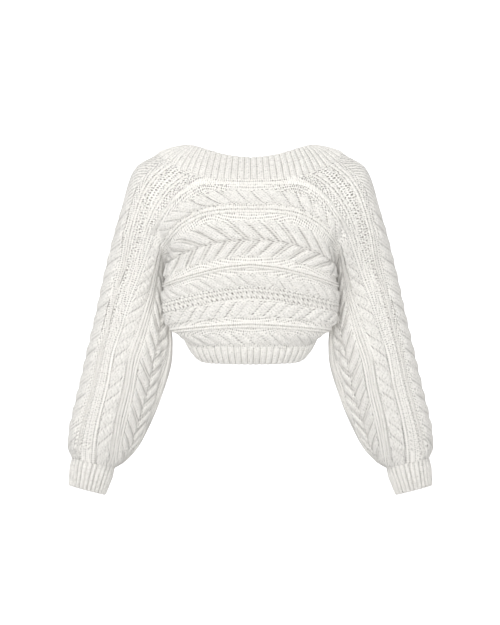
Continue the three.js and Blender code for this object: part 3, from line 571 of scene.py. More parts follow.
# %% [markdown]
# ## Strands
#
# Knitters make a cable by crossing stitches, so each strand has a round head that lies over the
# tail of the last. Here a strand is a rod with round ends, and a band is a row of rods that lean.
# `phase` counts strands along the band and `v` goes from 0 to 1 across it. Heights go from 0 at
# the ground to about 1 on a cable.

# %% Height of a strand
ROPE_TOP = 0.84  # along the middle of a strand
ROPE_DROP = 0.4  # and how much lower a strand gets over one pitch, where it dives under the next
ROPE_FLOOR = 0.25  # between two strands
ROPE_ROD = (0.98, 0.5)  # width of a strand in pitches, and share of its half length that is round
HERRING_LEAN = (1.35, 1.0)  # pitches that the strands of its two runs lean over
HERRING_GAP = 0.04  # between the two runs, and the height there
HERRING_ROD = (0.74, 0.3)
LINE_WIDTH = 0.16  # of one ridge, as a share of the band
MOSS_DOT = (9.4, 11.5)  # from one dot to the next along a row, and across two rows
MOSS_FLOOR = 0.2  # between two dots


def rod(x, y, width, cap):
    """A round-ended rod: x across it from -0.5 to 0.5 of a pitch, y along it from -1 to 1."""
    tip = np.clip((np.abs(y) - (1 - cap)) / cap, 0, 1)
    return np.clip(1 - (2 * x / width) ** 2 - tip**2, 0, 1) ** 0.72


def rope_height(phase, v, lean):
    """Slanting strands, each with its round head over the tail of the last; and their count."""
    y = 2 * v - 1
    swing = 0.3 * y + 0.7 * (np.arccos(np.clip(-y, -1, 1)) / math.pi - 0.5)
    strand = phase - lean * swing
    x = strand - np.floor(strand) - 0.5
    best = np.full(x.shape, ROPE_FLOOR)
    for shift in (-1, 0, 1):
        over = rod(x - shift, y, *ROPE_ROD)
        best = np.maximum(best, over * (ROPE_TOP - ROPE_DROP * (x - shift)))
    return best, strand


def herring_height(phase, v):
    """Two runs of rods that lean towards each other and meet in the middle; and their count."""
    out = np.abs(2 * v - 1)
    strand = phase - (1 - out) * np.where(v < 0.5, *HERRING_LEAN)
    x = strand - np.floor(strand) - 0.5
    y = 2 * (out - HERRING_GAP) / (1 - HERRING_GAP) - 1
    return np.maximum(rod(x, y, *HERRING_ROD), HERRING_GAP), strand


def line_height(v):
    """Two thin ridges side by side."""
    return np.maximum(bell(v - 0.25, LINE_WIDTH), bell(v - 0.75, LINE_WIDTH))


def moss_height(along_mm, across_mm):
    """Dots that stand between one another, row by row."""
    row = np.cos(2 * math.pi * along_mm / MOSS_DOT[0])
    column = np.cos(2 * math.pi * across_mm / MOSS_DOT[1])
    dots = np.clip(0.2 + 0.9 * row * column, 0, 1) ** 0.8
    return MOSS_FLOOR + (1 - MOSS_FLOOR) * dots


# %% Along a band


def feet(points, middle):
    """For every point of a band, the length along the band's middle row to the nearest place."""
    run = runs(middle)
    fine = np.linspace(0, run[-1], 4 * len(run))
    line = between(fine, run, middle)
    found = np.empty(points.shape[:2])
    for i, row in enumerate(points):
        gaps = ((row[:, None] - line[None]) ** 2).sum(-1)
        found[i] = fine[gaps.argmin(1)]
    # Evened out, so that a strand's edge doesn't step.
    kernel = np.array([1, 2, 3, 2, 1]) / 9
    ends = np.pad(found, ((0, 0), (2, 2)), mode="reflect", reflect_type="odd")
    return np.stack([np.convolve(row, kernel, mode="valid") for row in ends]), run[-1]


def own_start(low, high):
    """First row angle of the band behind the arm that this one repeats in front."""
    if low >= 360:
        return low - 360
    return 360 - high if low > 180 else low


# %% [markdown]
# ## Where a band dies out
#
# A line stops short of the rib ring, and a cable sinks as it nears any seam, because a seam
# presses the cloth flat. Two bands grow out of the purl below the shoulder, and one dies out down
# the arm. `calm` is 1 where a band stands in full and 0 where it has gone.

# %% Ends of the bands
NEAR_SEAM = (14.0, 45.0)  # a cable rises half over the first distance, half over the second
LINE_START, LINE_FADE = 2, 3  # a line rises between these two distances from the seam, or more
SHOULDER_START = {5: (90, 170), 52.5: (60, 130)}  # where these bands grow out of the purl
ARM_END = {58: (110, 190)}  # and where this one dies out down the arm


def line_calm(own, run, length, fade):
    """Where a line stands: fade is (start, end) for every row, and 0 lets it run into the seam."""
    gap = np.maximum(fade, LINE_FADE)
    start = np.where(fade[:, 0:1] > 0, smooth(run, LINE_START, gap[:, 0:1]), 1)
    end = np.where(fade[:, 1:2] > 0, smooth(length - run, LINE_START, gap[:, 1:2]), 1)
    calm = start * end
    if own in ARM_END:
        calm = calm * (1 - smooth(run, *ARM_END[own]))
    return calm


def cable_calm(own, run, near, fade):
    """Where a cable stands: near is the distance to the nearest seam, own its first row angle."""
    calm = sum(0.5 * smooth(near, 0.0, reach) for reach in NEAR_SEAM)
    if own in SHOULDER_START and fade[0, 0]:
        calm = calm * smooth(run, *SHOULDER_START[own])
    return calm


# %% [markdown]
# ## Stitches on a band
#
# The stitches of a strand follow the strand, those of a line follow the line, and a dot of moss
# is a stitch by itself. So every kind of band gives its height and where its stitches lie: U
# along the stitches, V across them, one unit to each. High places are knit and low ones purl.

# %% Size of a stitch
WALE = 4.0  # width of one knitted stitch
COURSE = 3.7  # length of one knitted stitch
STRAND_WALES = 5  # columns of stitches in a strand
ROPE_STRETCH = (1.3, 0.3)  # length of a strand for each mm across the band, and along it
HERRING_STRETCH = 1.35
# Heights between which each kind of band turns from purl to knit.
KNIT_FROM = {
    "line": (0.25, 0.55), "roll": (0.25, 0.55), "rope": (0.3, 0.5), "herring": (0.3, 0.5),
    "moss": (0.4, 0.8),
}


def line_stitches(kind, v, u):
    """A double line, or the single ridge of a roll."""
    wide = np.ones(u.shape)
    if kind == "line":
        return line_height(v) * wide, (u, 2 * v * wide)
    return np.sin(math.pi * v) * wide, (u, v * wide)


def cable_stitches(kind, v, phase, lean, run, wide):
    """A rope, a herringbone or moss. run is the length along the row, wide the length across."""
    if kind == "rope":
        made, strand = rope_height(phase, v, lean)
        length = wide * ROPE_STRETCH[0] + run * ROPE_STRETCH[1]
        return made, (length / COURSE, strand * STRAND_WALES)
    if kind == "herring":
        made, strand = herring_height(phase, v)
        return made, (wide * HERRING_STRETCH / COURSE, strand * STRAND_WALES)
    return moss_height(run, wide), (2 * run / MOSS_DOT[0], 2 * wide / MOSS_DOT[1] + 0.5)


# %% Shade in the hollows
# For each kind: heights between which the shade ends, how dark it is, and the shares of the
# band's width over which it starts at either side. A roll has none.
HOLLOWS = {
    "line": (0.2, 0.7, 0.7, None),
    "rope": (0.1, 0.6, 1.0, (0.03, 0.2)),
    "herring": (0.1, 0.6, 1.0, (0.03, 0.2)),
    "moss": (0.3, 0.7, 1.0, (0.02, 0.12)),
}


def hollow(kind, made, v):
    """How far each place lies in the shade between strands, from 0 to 1."""
    low, high, dark, sides = HOLLOWS[kind]
    inside = smooth(np.minimum(v, 1 - v), *sides) if sides else 1
    return (1 - smooth(made, low, high)) * dark * inside


# %% [markdown]
# ## Relief of a whole piece
#
# One function lays all the bands of a piece on its rows. A row one hair outside a band stands as
# high as the band's edge but has the ground's stitches, so that the two patterns of stitches
# meet in a line too thin to see.

# %% Relief
EDGE = 0.7  # row angle from a band's edge to the plain row beside it
HAIR = 0.02  # and to the row that stands as high, where one pattern of stitches stops


def relief(points, bands, angles, shares, lengths, across, lean_sign, fade, origin):
    """Height of the cloth at rows x places, and where the stitches lie on it.

    fade is (start, end) for every row: how far from that end a line dies out, or 0 where it runs
    through the seam. origin is the place on each row that its stitches are counted from.
    """
    height = np.zeros(shares.shape)
    purl = np.ones(shares.shape)
    deep = np.zeros(shares.shape)
    mm = shares * lengths[:, None]
    u = (mm - origin[:, None]) / COURSE
    v_uv = across / WALE
    for kind, low, high, pitch, lean, rise in bands:
        rows = np.flatnonzero((angles > low - 1.5 * HAIR) & (angles < high + 1.5 * HAIR))
        if not len(rows):
            continue
        mine = (angles[rows] > low - HAIR / 2) & (angles[rows] < high + HAIR / 2)
        v = np.clip((angles[rows] - low) / (high - low), 0, 1)[:, None]
        run, length = mm[rows], lengths[rows, None]
        own = own_start(low, high)
        if kind in ("line", "roll"):
            calm = line_calm(own, run, length, fade[rows])
            made, stitches = line_stitches(kind, v, u[rows])
        else:
            near = np.minimum(shares[rows], 1 - shares[rows]) * length
            calm = cable_calm(own, run, near, fade[rows])
            count = max(1, round(lengths[rows].mean() / pitch))
            foot, whole = feet(points[rows], points[rows[len(rows) // 2]])
            wide = across[rows] - across[rows[:1]]
            made, stitches = cable_stitches(
                kind, v, foot / whole * count, lean * lean_sign, run, wide)
        height[rows] = np.maximum(height[rows], made * rise * calm)
        knitted = smooth(made, *KNIT_FROM[kind]) * smooth(calm, 0, 0.5)
        purl[rows[mine]] = (1 - knitted)[mine]
        u[rows[mine]], v_uv[rows[mine]] = stitches[0][mine], stitches[1][mine]
        # The painted shade between strands, kept for the yarn's colour.
        if kind in HOLLOWS:
            deep[rows[mine]] = (hollow(kind, made, v) * calm)[mine]
    return height, purl, deep, u, v_uv


# %% Rows through the bands
BAND_STEPS = {"rope": 16, "line": 10, "herring": 40, "moss": 18, "roll": 6}  # rows in a band


def row_angles(bands, low, high, gap, share):
    """Rows through every band, plain rows beside its edges, and more in between.

    gap is the widest step between two rows, and share is how many of BAND_STEPS a band has.
    """
    inside = [b for b in bands if b[1] > low - 1e-6 and b[2] < high + 1e-6]
    rows = [low, high]
    for kind, first, last, *_ in inside:
        steps = max(4, int(BAND_STEPS[kind] * share))
        rows += list(np.linspace(first, last, steps + 1))
    for _, first, last, *_ in inside:
        for edge in (first - EDGE, last + EDGE):
            if low < edge < high and np.abs(np.array(rows) - edge).min() > 0.7 * EDGE:
                rows.append(edge)
    for _, first, last, *_ in inside:
        rows += [edge for edge in (first - HAIR, last + HAIR) if low < edge < high]
    rows = np.unique(np.round(rows, 6))
    filled = [rows[:1]]
    for one, two in zip(rows, rows[1:]):
        count = int(np.ceil((two - one) / gap))
        filled.append(np.linspace(one, two, count + 1)[1:])
    return np.concatenate(filled)


# %% [markdown]
# ## From net to mesh
#
# A net of points becomes a mesh by bmesh's grid operator: the grid is made flat, and each of its
# vertices is then put on its point. The net goes once round the wall's section, so its last line
# is welded to its first, and caps close the two ends of the wall. The result is a closed solid
# whose faces point outwards.

# %% Outward directions


def surface_normals(points, flip=1):
    """Direction square to a net of points; a flip of -1 turns it to the other side."""
    down = np.gradient(points, axis=0)
    run = np.gradient(points, axis=1)
    return unit(np.cross(down, run)) * flip


def lean_to(normals, seam, distance, reach=14.0):
    """Turns normals towards the seam's own direction near it."""
    share = (1 - smooth(distance, 0, reach))[..., None]
    return unit(normals * (1 - share) + seam * share)


def mirror_x(points):
    """The same points on the other side of the garment."""
    return points * np.array([-1.0, 1.0, 1.0])


# %% Grid with caps


def net_grid(rows, places, along_rows, caps):
    """A flat grid with the caps of its two ends, and the row and place of each vertex."""
    bm = bmesh.new()
    bmesh.ops.create_grid(bm, x_segments=places - 1, y_segments=rows - 1, size=0.5)
    bm.verts.ensure_lookup_table()
    flat = np.array([v.co[:2] for v in bm.verts])
    i = np.rint((0.5 - flat[:, 1]) * (rows - 1)).astype(int)  # down the grid, to face outwards
    j = np.rint((flat[:, 0] + 0.5) * (places - 1)).astype(int)
    at = np.empty((rows, places), int)
    at[i, j] = np.arange(len(flat))
    for end in (0, -1):
        section = at[end] if along_rows else at[:, end]
        for cap in caps:
            line = section[cap]
            if (end == 0) != along_rows:
                line = line[::-1]
            bm.faces.new([bm.verts[n] for n in line])
    return bm, i, j, at


# %% Sewing it shut
SAME_PLACE = 0.000002  # metres


def sew_shut(mesh, pairs, caps):
    """Welds the net's last line to its first, and its two ends where they have no caps."""
    bm = bmesh.new()
    bm.from_mesh(mesh)
    bm.verts.ensure_lookup_table()
    bmesh.ops.weld_verts(bm, targetmap={bm.verts[n]: bm.verts[m] for n, m in pairs})
    if not caps:
        edge = [v for v in bm.verts if v.is_boundary]
        bmesh.ops.remove_doubles(bm, verts=edge, dist=SAME_PLACE)
    bm.to_mesh(mesh)
    bm.free()
    mesh.update()


def net_mesh(name, points, uv, values, along_rows, caps):
    """A closed mesh on a net of rows x places x 3 points, in millimetres.

    The net is wrapped round the wall's section along its rows or across them, and its last
    place is its first one again. Each of `caps` is a list of places round the section, and
    together they close the two ends of the wall; without caps, the ends meet each other.
    """
    rows, places = points.shape[:2]
    bm, i, j, at = net_grid(rows, places, along_rows, caps)
    mesh = bpy.data.meshes.new(name)
    bm.to_mesh(mesh)
    bm.free()
    mesh.vertices.foreach_set("co", (points[i, j] * MM).ravel())
    corner = np.empty(len(mesh.loops), dtype=np.int32)
    mesh.loops.foreach_get("vertex_index", corner)
    layer = mesh.uv_layers.new(name="knit")
    layer.data.foreach_set("uv", uv[i, j][corner].ravel())
    for key, grid in values.items():
        data = mesh.attributes.new(key, "FLOAT", "POINT")
        data.data.foreach_set("value", grid[i, j].ravel())
    is_net = np.arange(len(mesh.polygons)) < (rows - 1) * (places - 1)
    mesh.polygons.foreach_set("use_smooth", is_net)
    pairs = zip(at[:, -1], at[:, 0]) if along_rows else zip(at[-1], at[0])
    sew_shut(mesh, pairs, caps)
    obj = bpy.data.objects.new(name, mesh)
    bpy.context.collection.objects.link(obj)
    return obj


# %% [markdown]
# ## Colours and nodes
#
# Blender's shaders count in linear light, and colour charts in sRGB, so one function turns a hex
# colour. Another adds a node with its settings and its links, whatever kind of node it is.

# %% Helpers for materials


def linear(hex_colour):
    """Turns an sRGB hex colour to linear light, with full opacity."""
    channels = [int(hex_colour[i:i + 2], 16) / 255 for i in (1, 3, 5)]
    return [c / 12.92 if c <= 0.04045 else ((c + 0.055) / 1.055) ** 2.4 for c in channels] + [1]


def add_node(tree, kind, inputs=(), **settings):
    """inputs maps a socket's name or number to a value, or to another node's output."""
    node = tree.nodes.new(kind)
    for key, value in settings.items():
        setattr(node, key, value)
    for key, value in dict(inputs).items():
        socket = node.inputs[key]
        if hasattr(value, "links"):
            tree.links.new(value, socket)
        else:
            socket.default_value = value
    return node


# %% [markdown]
# ## The yarn
#
# Thick, soft off-white yarn of wool or a wool blend, spun and then knitted. It is quite matt, with
# a faint sheen of loose fibres, and what the eye sees is mostly the shade between its stitches.
# Knit stitches are little Vs, and purl stitches are short bars with small holes between them.
# Modelling its forty thousand stitches would take millions of faces, so they are drawn in the UV
# map, as bump and as painted shade: the yarn's colour is darkened in the gaps between stitches, in
# the purl holes and between the strands. Every pattern's scale comes from a size in millimetres.

# %% Sizes of the yarn's patterns
# Noise: distance between its waves, and detail. Rows of stitches wander, the painted shade in the
# gaps and holes is darker in patches, and loose fibres stand on the strands, drawn coarser than
# they are so that they show.
NOISES = {"wander": (16.7, 1.0), "patches": (3.03, 2.0), "fluff": (0.909, 2.0)}
STITCH_DRIFT = 1.6  # how far the rows wander, in stitches
BUMP = 1.4  # height of a stitch
PURL_BAR = 1.5  # length of a purl bar, in stitches
PURL_STEP = 4.1  # from one purl bar to the next
KNIT_GAP = 0.55  # how dark the painted shade between stitches is, in knit, purl and loose purl
PURL_GAP = 1.0
LOOSE_GAP = 4.5
PURL_SHADE = 0.1  # shade of the whole purl ground
DEEP_SHADE = 0.18  # shade between two strands of a cable
TURN = 2 * math.pi

# %% The stitches, step by step
# Each step is a Math node: the name of what it gives, its operation, and what it takes.
STITCH_STEPS = [
    # The rows wander a little.
    ("off_row", "SUBTRACT", "wander", 0.5),
    ("drift", "MULTIPLY", "off_row", STITCH_DRIFT),
    ("u", "ADD", "u", "drift"),
    # Knit: two slanting legs to a stitch, round across and beaded along.
    ("wale", "FRACT", "v"),
    ("off_middle", "SUBTRACT", "wale", 0.5),
    ("out", "ABSOLUTE", "off_middle"),
    ("leg", "MULTIPLY", "out", 2.0),
    ("steep", "POWER", "leg", 3.0),
    ("round", "SUBTRACT", 1.0, "steep"),
    ("round", "POWER", "round", 0.7),
    ("inner", "SUBTRACT", 1.0, "leg"),
    ("inner", "POWER", "inner", 4.0),
    ("inner", "MULTIPLY", "inner", 0.35),
    ("dent", "SUBTRACT", 1.0, "inner"),
    ("across", "MULTIPLY", "round", "dent"),
    ("slant", "MULTIPLY", "leg", 0.6),
    ("slant", "ADD", "u", "slant"),
    ("slant", "MULTIPLY", "slant", TURN),
    ("bead", "SINE", "slant"),
    ("bead", "MULTIPLY", "bead", 0.38),
    ("bead", "ADD", 0.62, "bead"),
    ("knit", "MULTIPLY", "across", "bead"),
    # Purl: rows of small holes between the bars, each row half a step on from the last.
    ("column", "DIVIDE", "v", PURL_BAR),
    ("half", "FLOOR", "column"),
    ("half", "MULTIPLY", "half", 0.5),
    ("step", "MULTIPLY", "u", COURSE / PURL_STEP),
    ("step", "ADD", "step", "half"),
    ("step", "MULTIPLY", "step", TURN),
    ("hole", "SINE", "step"),
    ("hole", "MULTIPLY", "hole", 0.5),
    ("hole", "ADD", 0.5, "hole"),
    ("hole", "POWER", "hole", 1.1),
    ("bar", "FRACT", "column"),
    ("bar", "MULTIPLY", "bar", math.pi),
    ("bar", "SINE", "bar"),
    ("hole", "MULTIPLY", "hole", "bar"),
    ("bars", "SUBTRACT", 1.0, "hole"),
    # Both, mixed by how far the cloth is purl, with fluff on top.
    ("change", "SUBTRACT", "bars", "knit"),
    ("stitch", "MULTIPLY_ADD", "change", "purl", "knit"),
    ("fluff", "MULTIPLY", "fluff", 0.5),
    ("height", "ADD", "stitch", "fluff"),
]

# %% The shade between strands, step by step
SHADE_STEPS = [
    # Painted shade: the lower a place lies in the stitch pattern, the darker its colour.
    ("gap", "SUBTRACT", 1.0, "stitch"),
    ("gap", "MULTIPLY", "gap", "gap"),
    # The painted shade is darker in some gaps than in others.
    ("uneven_shade", "SUBTRACT", "patches", 0.3),
    ("uneven_shade", "MULTIPLY", "uneven_shade", 5.0),
    ("uneven_shade", "MAXIMUM", "uneven_shade", 0.3),
    # More painted shade in purl, and in patches where the open holes of loose purl are darker.
    ("weight", "MULTIPLY", "purl", PURL_GAP - KNIT_GAP),
    ("weight", "ADD", KNIT_GAP, "weight"),
    ("hole_shade_patches", "SUBTRACT", "patches", 0.47),
    ("hole_shade_patches", "MULTIPLY", "hole_shade_patches", 8.0),
    ("hole_shade_patches", "MAXIMUM", "hole_shade_patches", 0.0),
    ("hole_shade_patches", "MULTIPLY", "hole_shade_patches", LOOSE_GAP),
    ("loose", "MULTIPLY", "loose", "purl"),
    ("loose", "MULTIPLY", "loose", "hole_shade_patches"),
    ("weight", "ADD", "weight", "loose"),
    ("gap", "MULTIPLY", "gap", "weight"),
    ("gap", "MULTIPLY", "gap", "uneven_shade"),
    # The sunken ground of purl and the hollows of a cable get a little painted shade as a whole.
    ("ground", "MULTIPLY", "purl", PURL_SHADE),
    ("shade", "ADD", "gap", "ground"),
    ("hollow", "MULTIPLY", "deep", DEEP_SHADE),
    ("shade", "ADD", "shade", "hollow"),
    ("shade", "MINIMUM", "shade", 1.0),
]

# %% The yarn's material


def yarn_material(name, colour, groove):
    """Makes the yarn: colour is its own, and groove is that of the deepest shade."""
    material = bpy.data.materials.new(name)
    material.use_nodes = True
    tree = material.node_tree
    tree.nodes.clear()
    uv = add_node(tree, "ShaderNodeUVMap", uv_map="knit").outputs["UV"]
    split = add_node(tree, "ShaderNodeSeparateXYZ", {0: uv})
    made = {"u": split.outputs[0], "v": split.outputs[1]}
    for key in ("purl", "deep", "loose"):
        made[key] = add_node(tree, "ShaderNodeAttribute", attribute_name=key).outputs["Fac"]
    coords = add_node(tree, "ShaderNodeTexCoord").outputs["Object"]
    for key, (size, detail) in NOISES.items():
        noise = {"Vector": coords, "Scale": round(1 / (size * MM)), "Detail": detail}
        made[key] = add_node(tree, "ShaderNodeTexNoise", noise).outputs[0]
    for key, operation, *taken in STITCH_STEPS + SHADE_STEPS:
        inputs = {socket: made.get(value, value) for socket, value in enumerate(taken)}
        made[key] = add_node(tree, "ShaderNodeMath", inputs, operation=operation).outputs[0]
    # Painted shade: the yarn's colour is mixed towards the groove colour by the shade above.
    yarn_with_painted_shade = add_node(tree, "ShaderNodeMix", {0: made["shade"], 6: linear(colour), 7: linear(groove)},
                    data_type="RGBA")
    bump = add_node(tree, "ShaderNodeBump",
                    {"Strength": 1.0, "Distance": BUMP * MM, "Height": made["height"]})
    shader = add_node(tree, "ShaderNodeBsdfPrincipled", {
        "Base Color": yarn_with_painted_shade.outputs[2], "Roughness": 0.92, "Normal": bump.outputs[0],
        "Specular IOR Level": 0.2, "Sheen Weight": 0.25, "Sheen Roughness": 0.6,
    })
    add_node(tree, "ShaderNodeOutputMaterial", {"Surface": shader.outputs[0]})
    return material


# The second colour is that of the deepest painted shade in gaps and hollows.
YARN = yarn_material("off_white_yarn", "#f6f3ec", "#40372b")
print("Yarn:", len(YARN.node_tree.nodes), "nodes")

# %% [markdown]
# ## A wall from a surface
#
# A piece is worked out as one surface without thickness. The wall is that surface with its relief,
# then the way back along the plain inside, and then the first edge again.

# %% Outside, inside and caps
INNER_PLACES = 34  # the inside is plain, so it needs few places round the section


def wall_caps(places, back_way):
    """Faces that close the end of a wall whose inside has fewer places than its outside."""
    return [list(range(last, first + 1)) + [places + k, places + k + 1]
            for k, (first, last) in enumerate(zip(back_way, back_way[1:]))]


def wrapped(points, normals, height, uv, plain, values, axis):
    """The wall's net, its stitches and its values; axis is the side that goes round the wall."""
    outer = points + normals * (GROUND + RELIEF * height)[..., None]
    places = points.shape[axis]
    back_way = np.linspace(places - 1, 0, INNER_PLACES).astype(int)
    inner = points + normals * (GROUND - WALL)
    whole = np.concatenate([outer, inner.take(back_way, axis), outer.take([0], axis)], axis)
    caps = wall_caps(places, back_way)
    back_way = np.append(back_way, 0)
    uv = np.concatenate([uv, plain.take(back_way, axis)], axis)
    inside = np.zeros_like(height).take(back_way, axis)
    values = {key: np.concatenate([grid, inside + (key == "purl")], axis)
              for key, grid in values.items()}
    return whole, uv, values, caps


def net_area(points):
    """Area of the cloth without its relief, in square metres."""
    one = points[1:, 1:] - points[:-1, :-1]
    two = points[1:, :-1] - points[:-1, 1:]
    return np.linalg.norm(np.cross(one, two), axis=-1).sum() / 2 * MM * MM


def knit_piece(name, node, net, along_rows, mirrored=False, inside_out=False):
    """Makes the piece that stands for a CAD node.

    net is its points, stitches, values and caps, and inside_out says that its faces point inwards.
    """
    whole, uv, values, caps = net
    if mirrored:
        whole = mirror_x(whole)
    if mirrored != inside_out:
        # A mirror image turns the faces inside out too, and rows in reverse order turn them back.
        whole, uv = whole[::-1], uv[::-1]
        values = {key: grid[::-1] for key, grid in values.items()}
    piece = net_mesh(name, whole, uv, values, along_rows, caps)
    piece.data.materials.append(YARN)
    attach(piece, "root")
    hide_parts(node)
    print(name, "has", len(piece.data.polygons), "faces")
    return piece


# %% Outward directions at a row's start


def edge_normals(angles, ring_place):
    """Outward direction where each row starts: at the armhole, or at its place on the rib ring."""
    on_arm = angles <= CORNER
    seam = np.empty((len(angles), 1, 3))
    seam[on_arm, 0] = arm_normal(angles[on_arm])
    seam[~on_arm, 0] = ring_normal(ring_place(angles[~on_arm]))
    return seam


# %% [markdown]
# ## The back
#
# The back is knitted sideways from armhole to armhole. It is worked out as one half, from the
# spine to the side, and each row then runs through both halves in one go, so that no seam shows
# at the spine. Towards the neck corners its purl is loose, and the shade in its open pinholes is
# painted dark into the yarn's colour.

# %% Back
BACK_GAP, BACK_SHARE = 0.9, 1.15  # widest step between rows, and share of BAND_STEPS
BACK_PLACES = 290
BACK_FADE = 45.0  # lines die out this far from the rib ring
LOOSE = 0.8  # how loose the purl is beside the collar, from 0 to 1; its holes get darker painted shade
LOOSE_CORNER = 60.0  # how wide it is loose round a neck corner


def back(name, node):
    """Makes the back, and gives it with its width, length and area."""
    bands = [ROLL] + [b for b in BANDS if b[1] > TOP_ANGLE]
    angles = row_angles(bands, TOP_ANGLE, HEM_ANGLE, BACK_GAP, BACK_SHARE)
    shares = np.tile(np.linspace(0, 1, BACK_PLACES), (len(angles), 1))
    w, half = even_places(lambda w: back_place(angles, w), np.zeros(len(angles)),
                          np.full(len(angles), STATIONS[-1]), np.abs(2 * shares - 1))
    side = np.ones(shares.shape + (3,))
    side[shares < 0.5, 0] = -1
    one_half = back_place(angles, w)
    points = one_half * side
    lengths = 2 * half
    to_side = np.minimum(shares, 1 - shares) * lengths[:, None]
    seam = edge_normals(angles, side_ring) * side
    normals = lean_to(surface_normals(points), seam, to_side)
    across = runs(points)
    fade = np.tile(BACK_FADE * (angles > CORNER)[:, None], (1, 2))
    height, purl, deep, u, v = relief(
        points, bands, angles, shares, lengths, across, 1, fade, lengths / 2)
    off = np.linalg.norm(one_half - ring_seam(RAGLAN_FROM)[0], axis=-1)
    values = {"purl": purl, "deep": deep, "loose": LOOSE * bell(off, LOOSE_CORNER)}
    plain = np.stack([(shares - 0.5) * lengths[:, None] / COURSE, across / WALE], -1)
    net = wrapped(points, normals, height, np.stack([u, v], -1), plain, values, 0)
    piece = knit_piece(name, node, net, along_rows=False)
    return piece, lengths.max(), across.max(), net_area(points)


cloths = {"knit_back": back("knit_back", "back")}

# %% [markdown]
# ## The sleeves
#
# A sleeve's rows run from the shoulder to the cuff, and lie once round the arm. Behind the arm
# they start at the armhole, and in front at the rib ring. The last row lies on the first one, and
# above the armhole on the raglan line. In front the bands are plainer, so their rows lie further
# apart. The other sleeve is its mirror image.

# %% Bands round the arm


def mirrored_bands(bands):
    """The same bands in front of the arm, where a rope leans the other way."""
    return [(kind, 360 - last, 360 - first, pitch, -lean if kind == "rope" else lean, rise)
            for kind, first, last, pitch, lean, rise in bands]


ARM_BANDS = [
    b[:5] + (SLEEVE_HERRING if b[0] == "herring" else b[5],) for b in BANDS if b[2] < CORNER
]
SLEEVE_BANDS = (
    [b for b in ARM_BANDS if b[1] > TOP_ANGLE]
    + mirrored_bands(ARM_BANDS)
    + [(b[0], b[1] + 360, b[2] + 360, *b[3:]) for b in ARM_BANDS if b[2] < TOP_ANGLE]
)
print("Bands round the arm:", len(SLEEVE_BANDS))

# %% Loose purl of a sleeve
LOOSE_COLLAR = 55.0  # how wide the purl is loose beside the collar
LOOSE_RAGLAN = (22.0, 140.0)  # and beside the raglan line: in row angle, and along it


def loose_purl(angles, run, w):
    """How loose the purl of a sleeve is, from 0 to 1, on the rows that start at the rib ring."""
    near_collar = bell(run, LOOSE_COLLAR)
    near_raglan = bell(TOP_ANGLE + 360 - angles[:, None], LOOSE_RAGLAN[0])
    near_raglan = near_raglan * bell(run, LOOSE_RAGLAN[1])
    # Looser purl gets darker painted shade in its holes.
    return np.maximum(LOOSE * near_collar, near_raglan) * (w[:, :1] < 0)


# %% Joint under the last row


def join_normals(normals, w):
    """Gives the last row and the first one the same direction where they lie together."""
    same = w[-1] >= 0
    joint = between(w[-1], w[0], normals[0])
    normals[-1, same] = unit(normals[-1, same] + joint[same])
    normals[0] = unit(between(w[0], w[-1, same], normals[-1, same]))


# %% Sleeves
# Rows: first and last row angle, widest step between rows, share of BAND_STEPS.
SLEEVE_PARTS = [
    (TOP_ANGLE, 180.0, 1.8, 0.85),
    (180.0, 316.0, 4.0, 0.5),
    (316.0, TOP_ANGLE + 360, 1.8, 0.85),
]
SLEEVE_PLACES = 276
SLEEVE_FADE = 14.0  # lines die out this far from the rib ring
CUFF_FADE, CUFF_HEIGHT = 60.0, 0.2  # over this length the relief sinks to this share


def sleeve(name, node, mirrored):
    """Makes a sleeve, and gives it with its width all round, length and area."""
    angles = np.unique(np.concatenate([row_angles(SLEEVE_BANDS, *part) for part in SLEEVE_PARTS]))
    on_arm = angles <= CORNER
    start = np.where(on_arm, 0.0, SLEEVE_KNOTS[0])
    shares = np.tile(np.linspace(0, 1, SLEEVE_PLACES), (len(angles), 1))
    w, lengths = even_places(lambda w: sleeve_place(angles, w), start,
                             np.full(len(angles), SLEEVE_END), shares)
    points = sleeve_place(angles, w)
    run = shares * lengths[:, None]
    normals = lean_to(surface_normals(points), edge_normals(angles, cap_ring), run)
    join_normals(normals, w)
    across = runs(points)
    fade = np.stack([SLEEVE_FADE * ~on_arm, np.zeros(len(angles))], -1)
    origin = np.array([np.interp(0, row, place) for row, place in zip(w, run)])
    height, purl, deep, u, v = relief(
        points, SLEEVE_BANDS, angles, shares, lengths, across, -1, fade, origin)
    to_cuff = lengths[:, None] - run
    height *= np.minimum(1, CUFF_HEIGHT + (1 - CUFF_HEIGHT) * to_cuff / CUFF_FADE)
    values = {"purl": purl, "deep": deep, "loose": loose_purl(angles, run, w)}
    plain = np.stack([(run - origin[:, None]) / COURSE, across / WALE], -1)
    net = wrapped(points, normals, height, np.stack([u, v], -1), plain, values, 1)
    piece = knit_piece(name, node, net, along_rows=True, mirrored=mirrored)
    return piece, across.max(), lengths.max(), net_area(points)


cloths["knit_sleeve_right"] = sleeve("knit_sleeve_right", "sleeve_right", False)
cloths["knit_sleeve_left"] = sleeve("knit_sleeve_left", "sleeve_left", True)

# %% [markdown]
# ## Ribs
#
# A rib is columns of knit stitches between columns of purl. The purl draws back into a groove,
# which makes the band narrow and springy. The profile across one rib is a formula, repeated along
# the band. Over the sewn edge the ribs rise from the flat seam, and at the free edge they thin
# out a little.

# %% Profile of a rib
RIB_RELIEF = 3.2  # how far a rib stands above its groove
RIB_PLACES = 12  # points across one rib
RIB_ROWS = 40  # rows from the sewn edge to the free edge
RIB_THIN = (0.4, 0.93)  # how much lower the ribs are at the free edge, and from which share on
INSIDE_ROWS = (30, 20, 10, 0)  # of the plain inside, besides the two at the free edge
LIP = (3, 1.2)  # how far the wall goes on under its neighbour's edge, and how far inwards


def rib_profile(phase):
    """Height across ribs, phase in ribs: a round back of two columns of stitches, and a groove."""
    x = phase - np.floor(phase) - 0.5
    back_of_rib = np.clip(1 - np.abs(2.25 * x) ** 2.2, 0, 1) ** 0.75
    return back_of_rib * (1 - 0.14 * bell(x, 0.06))


# %% A ribbed piece


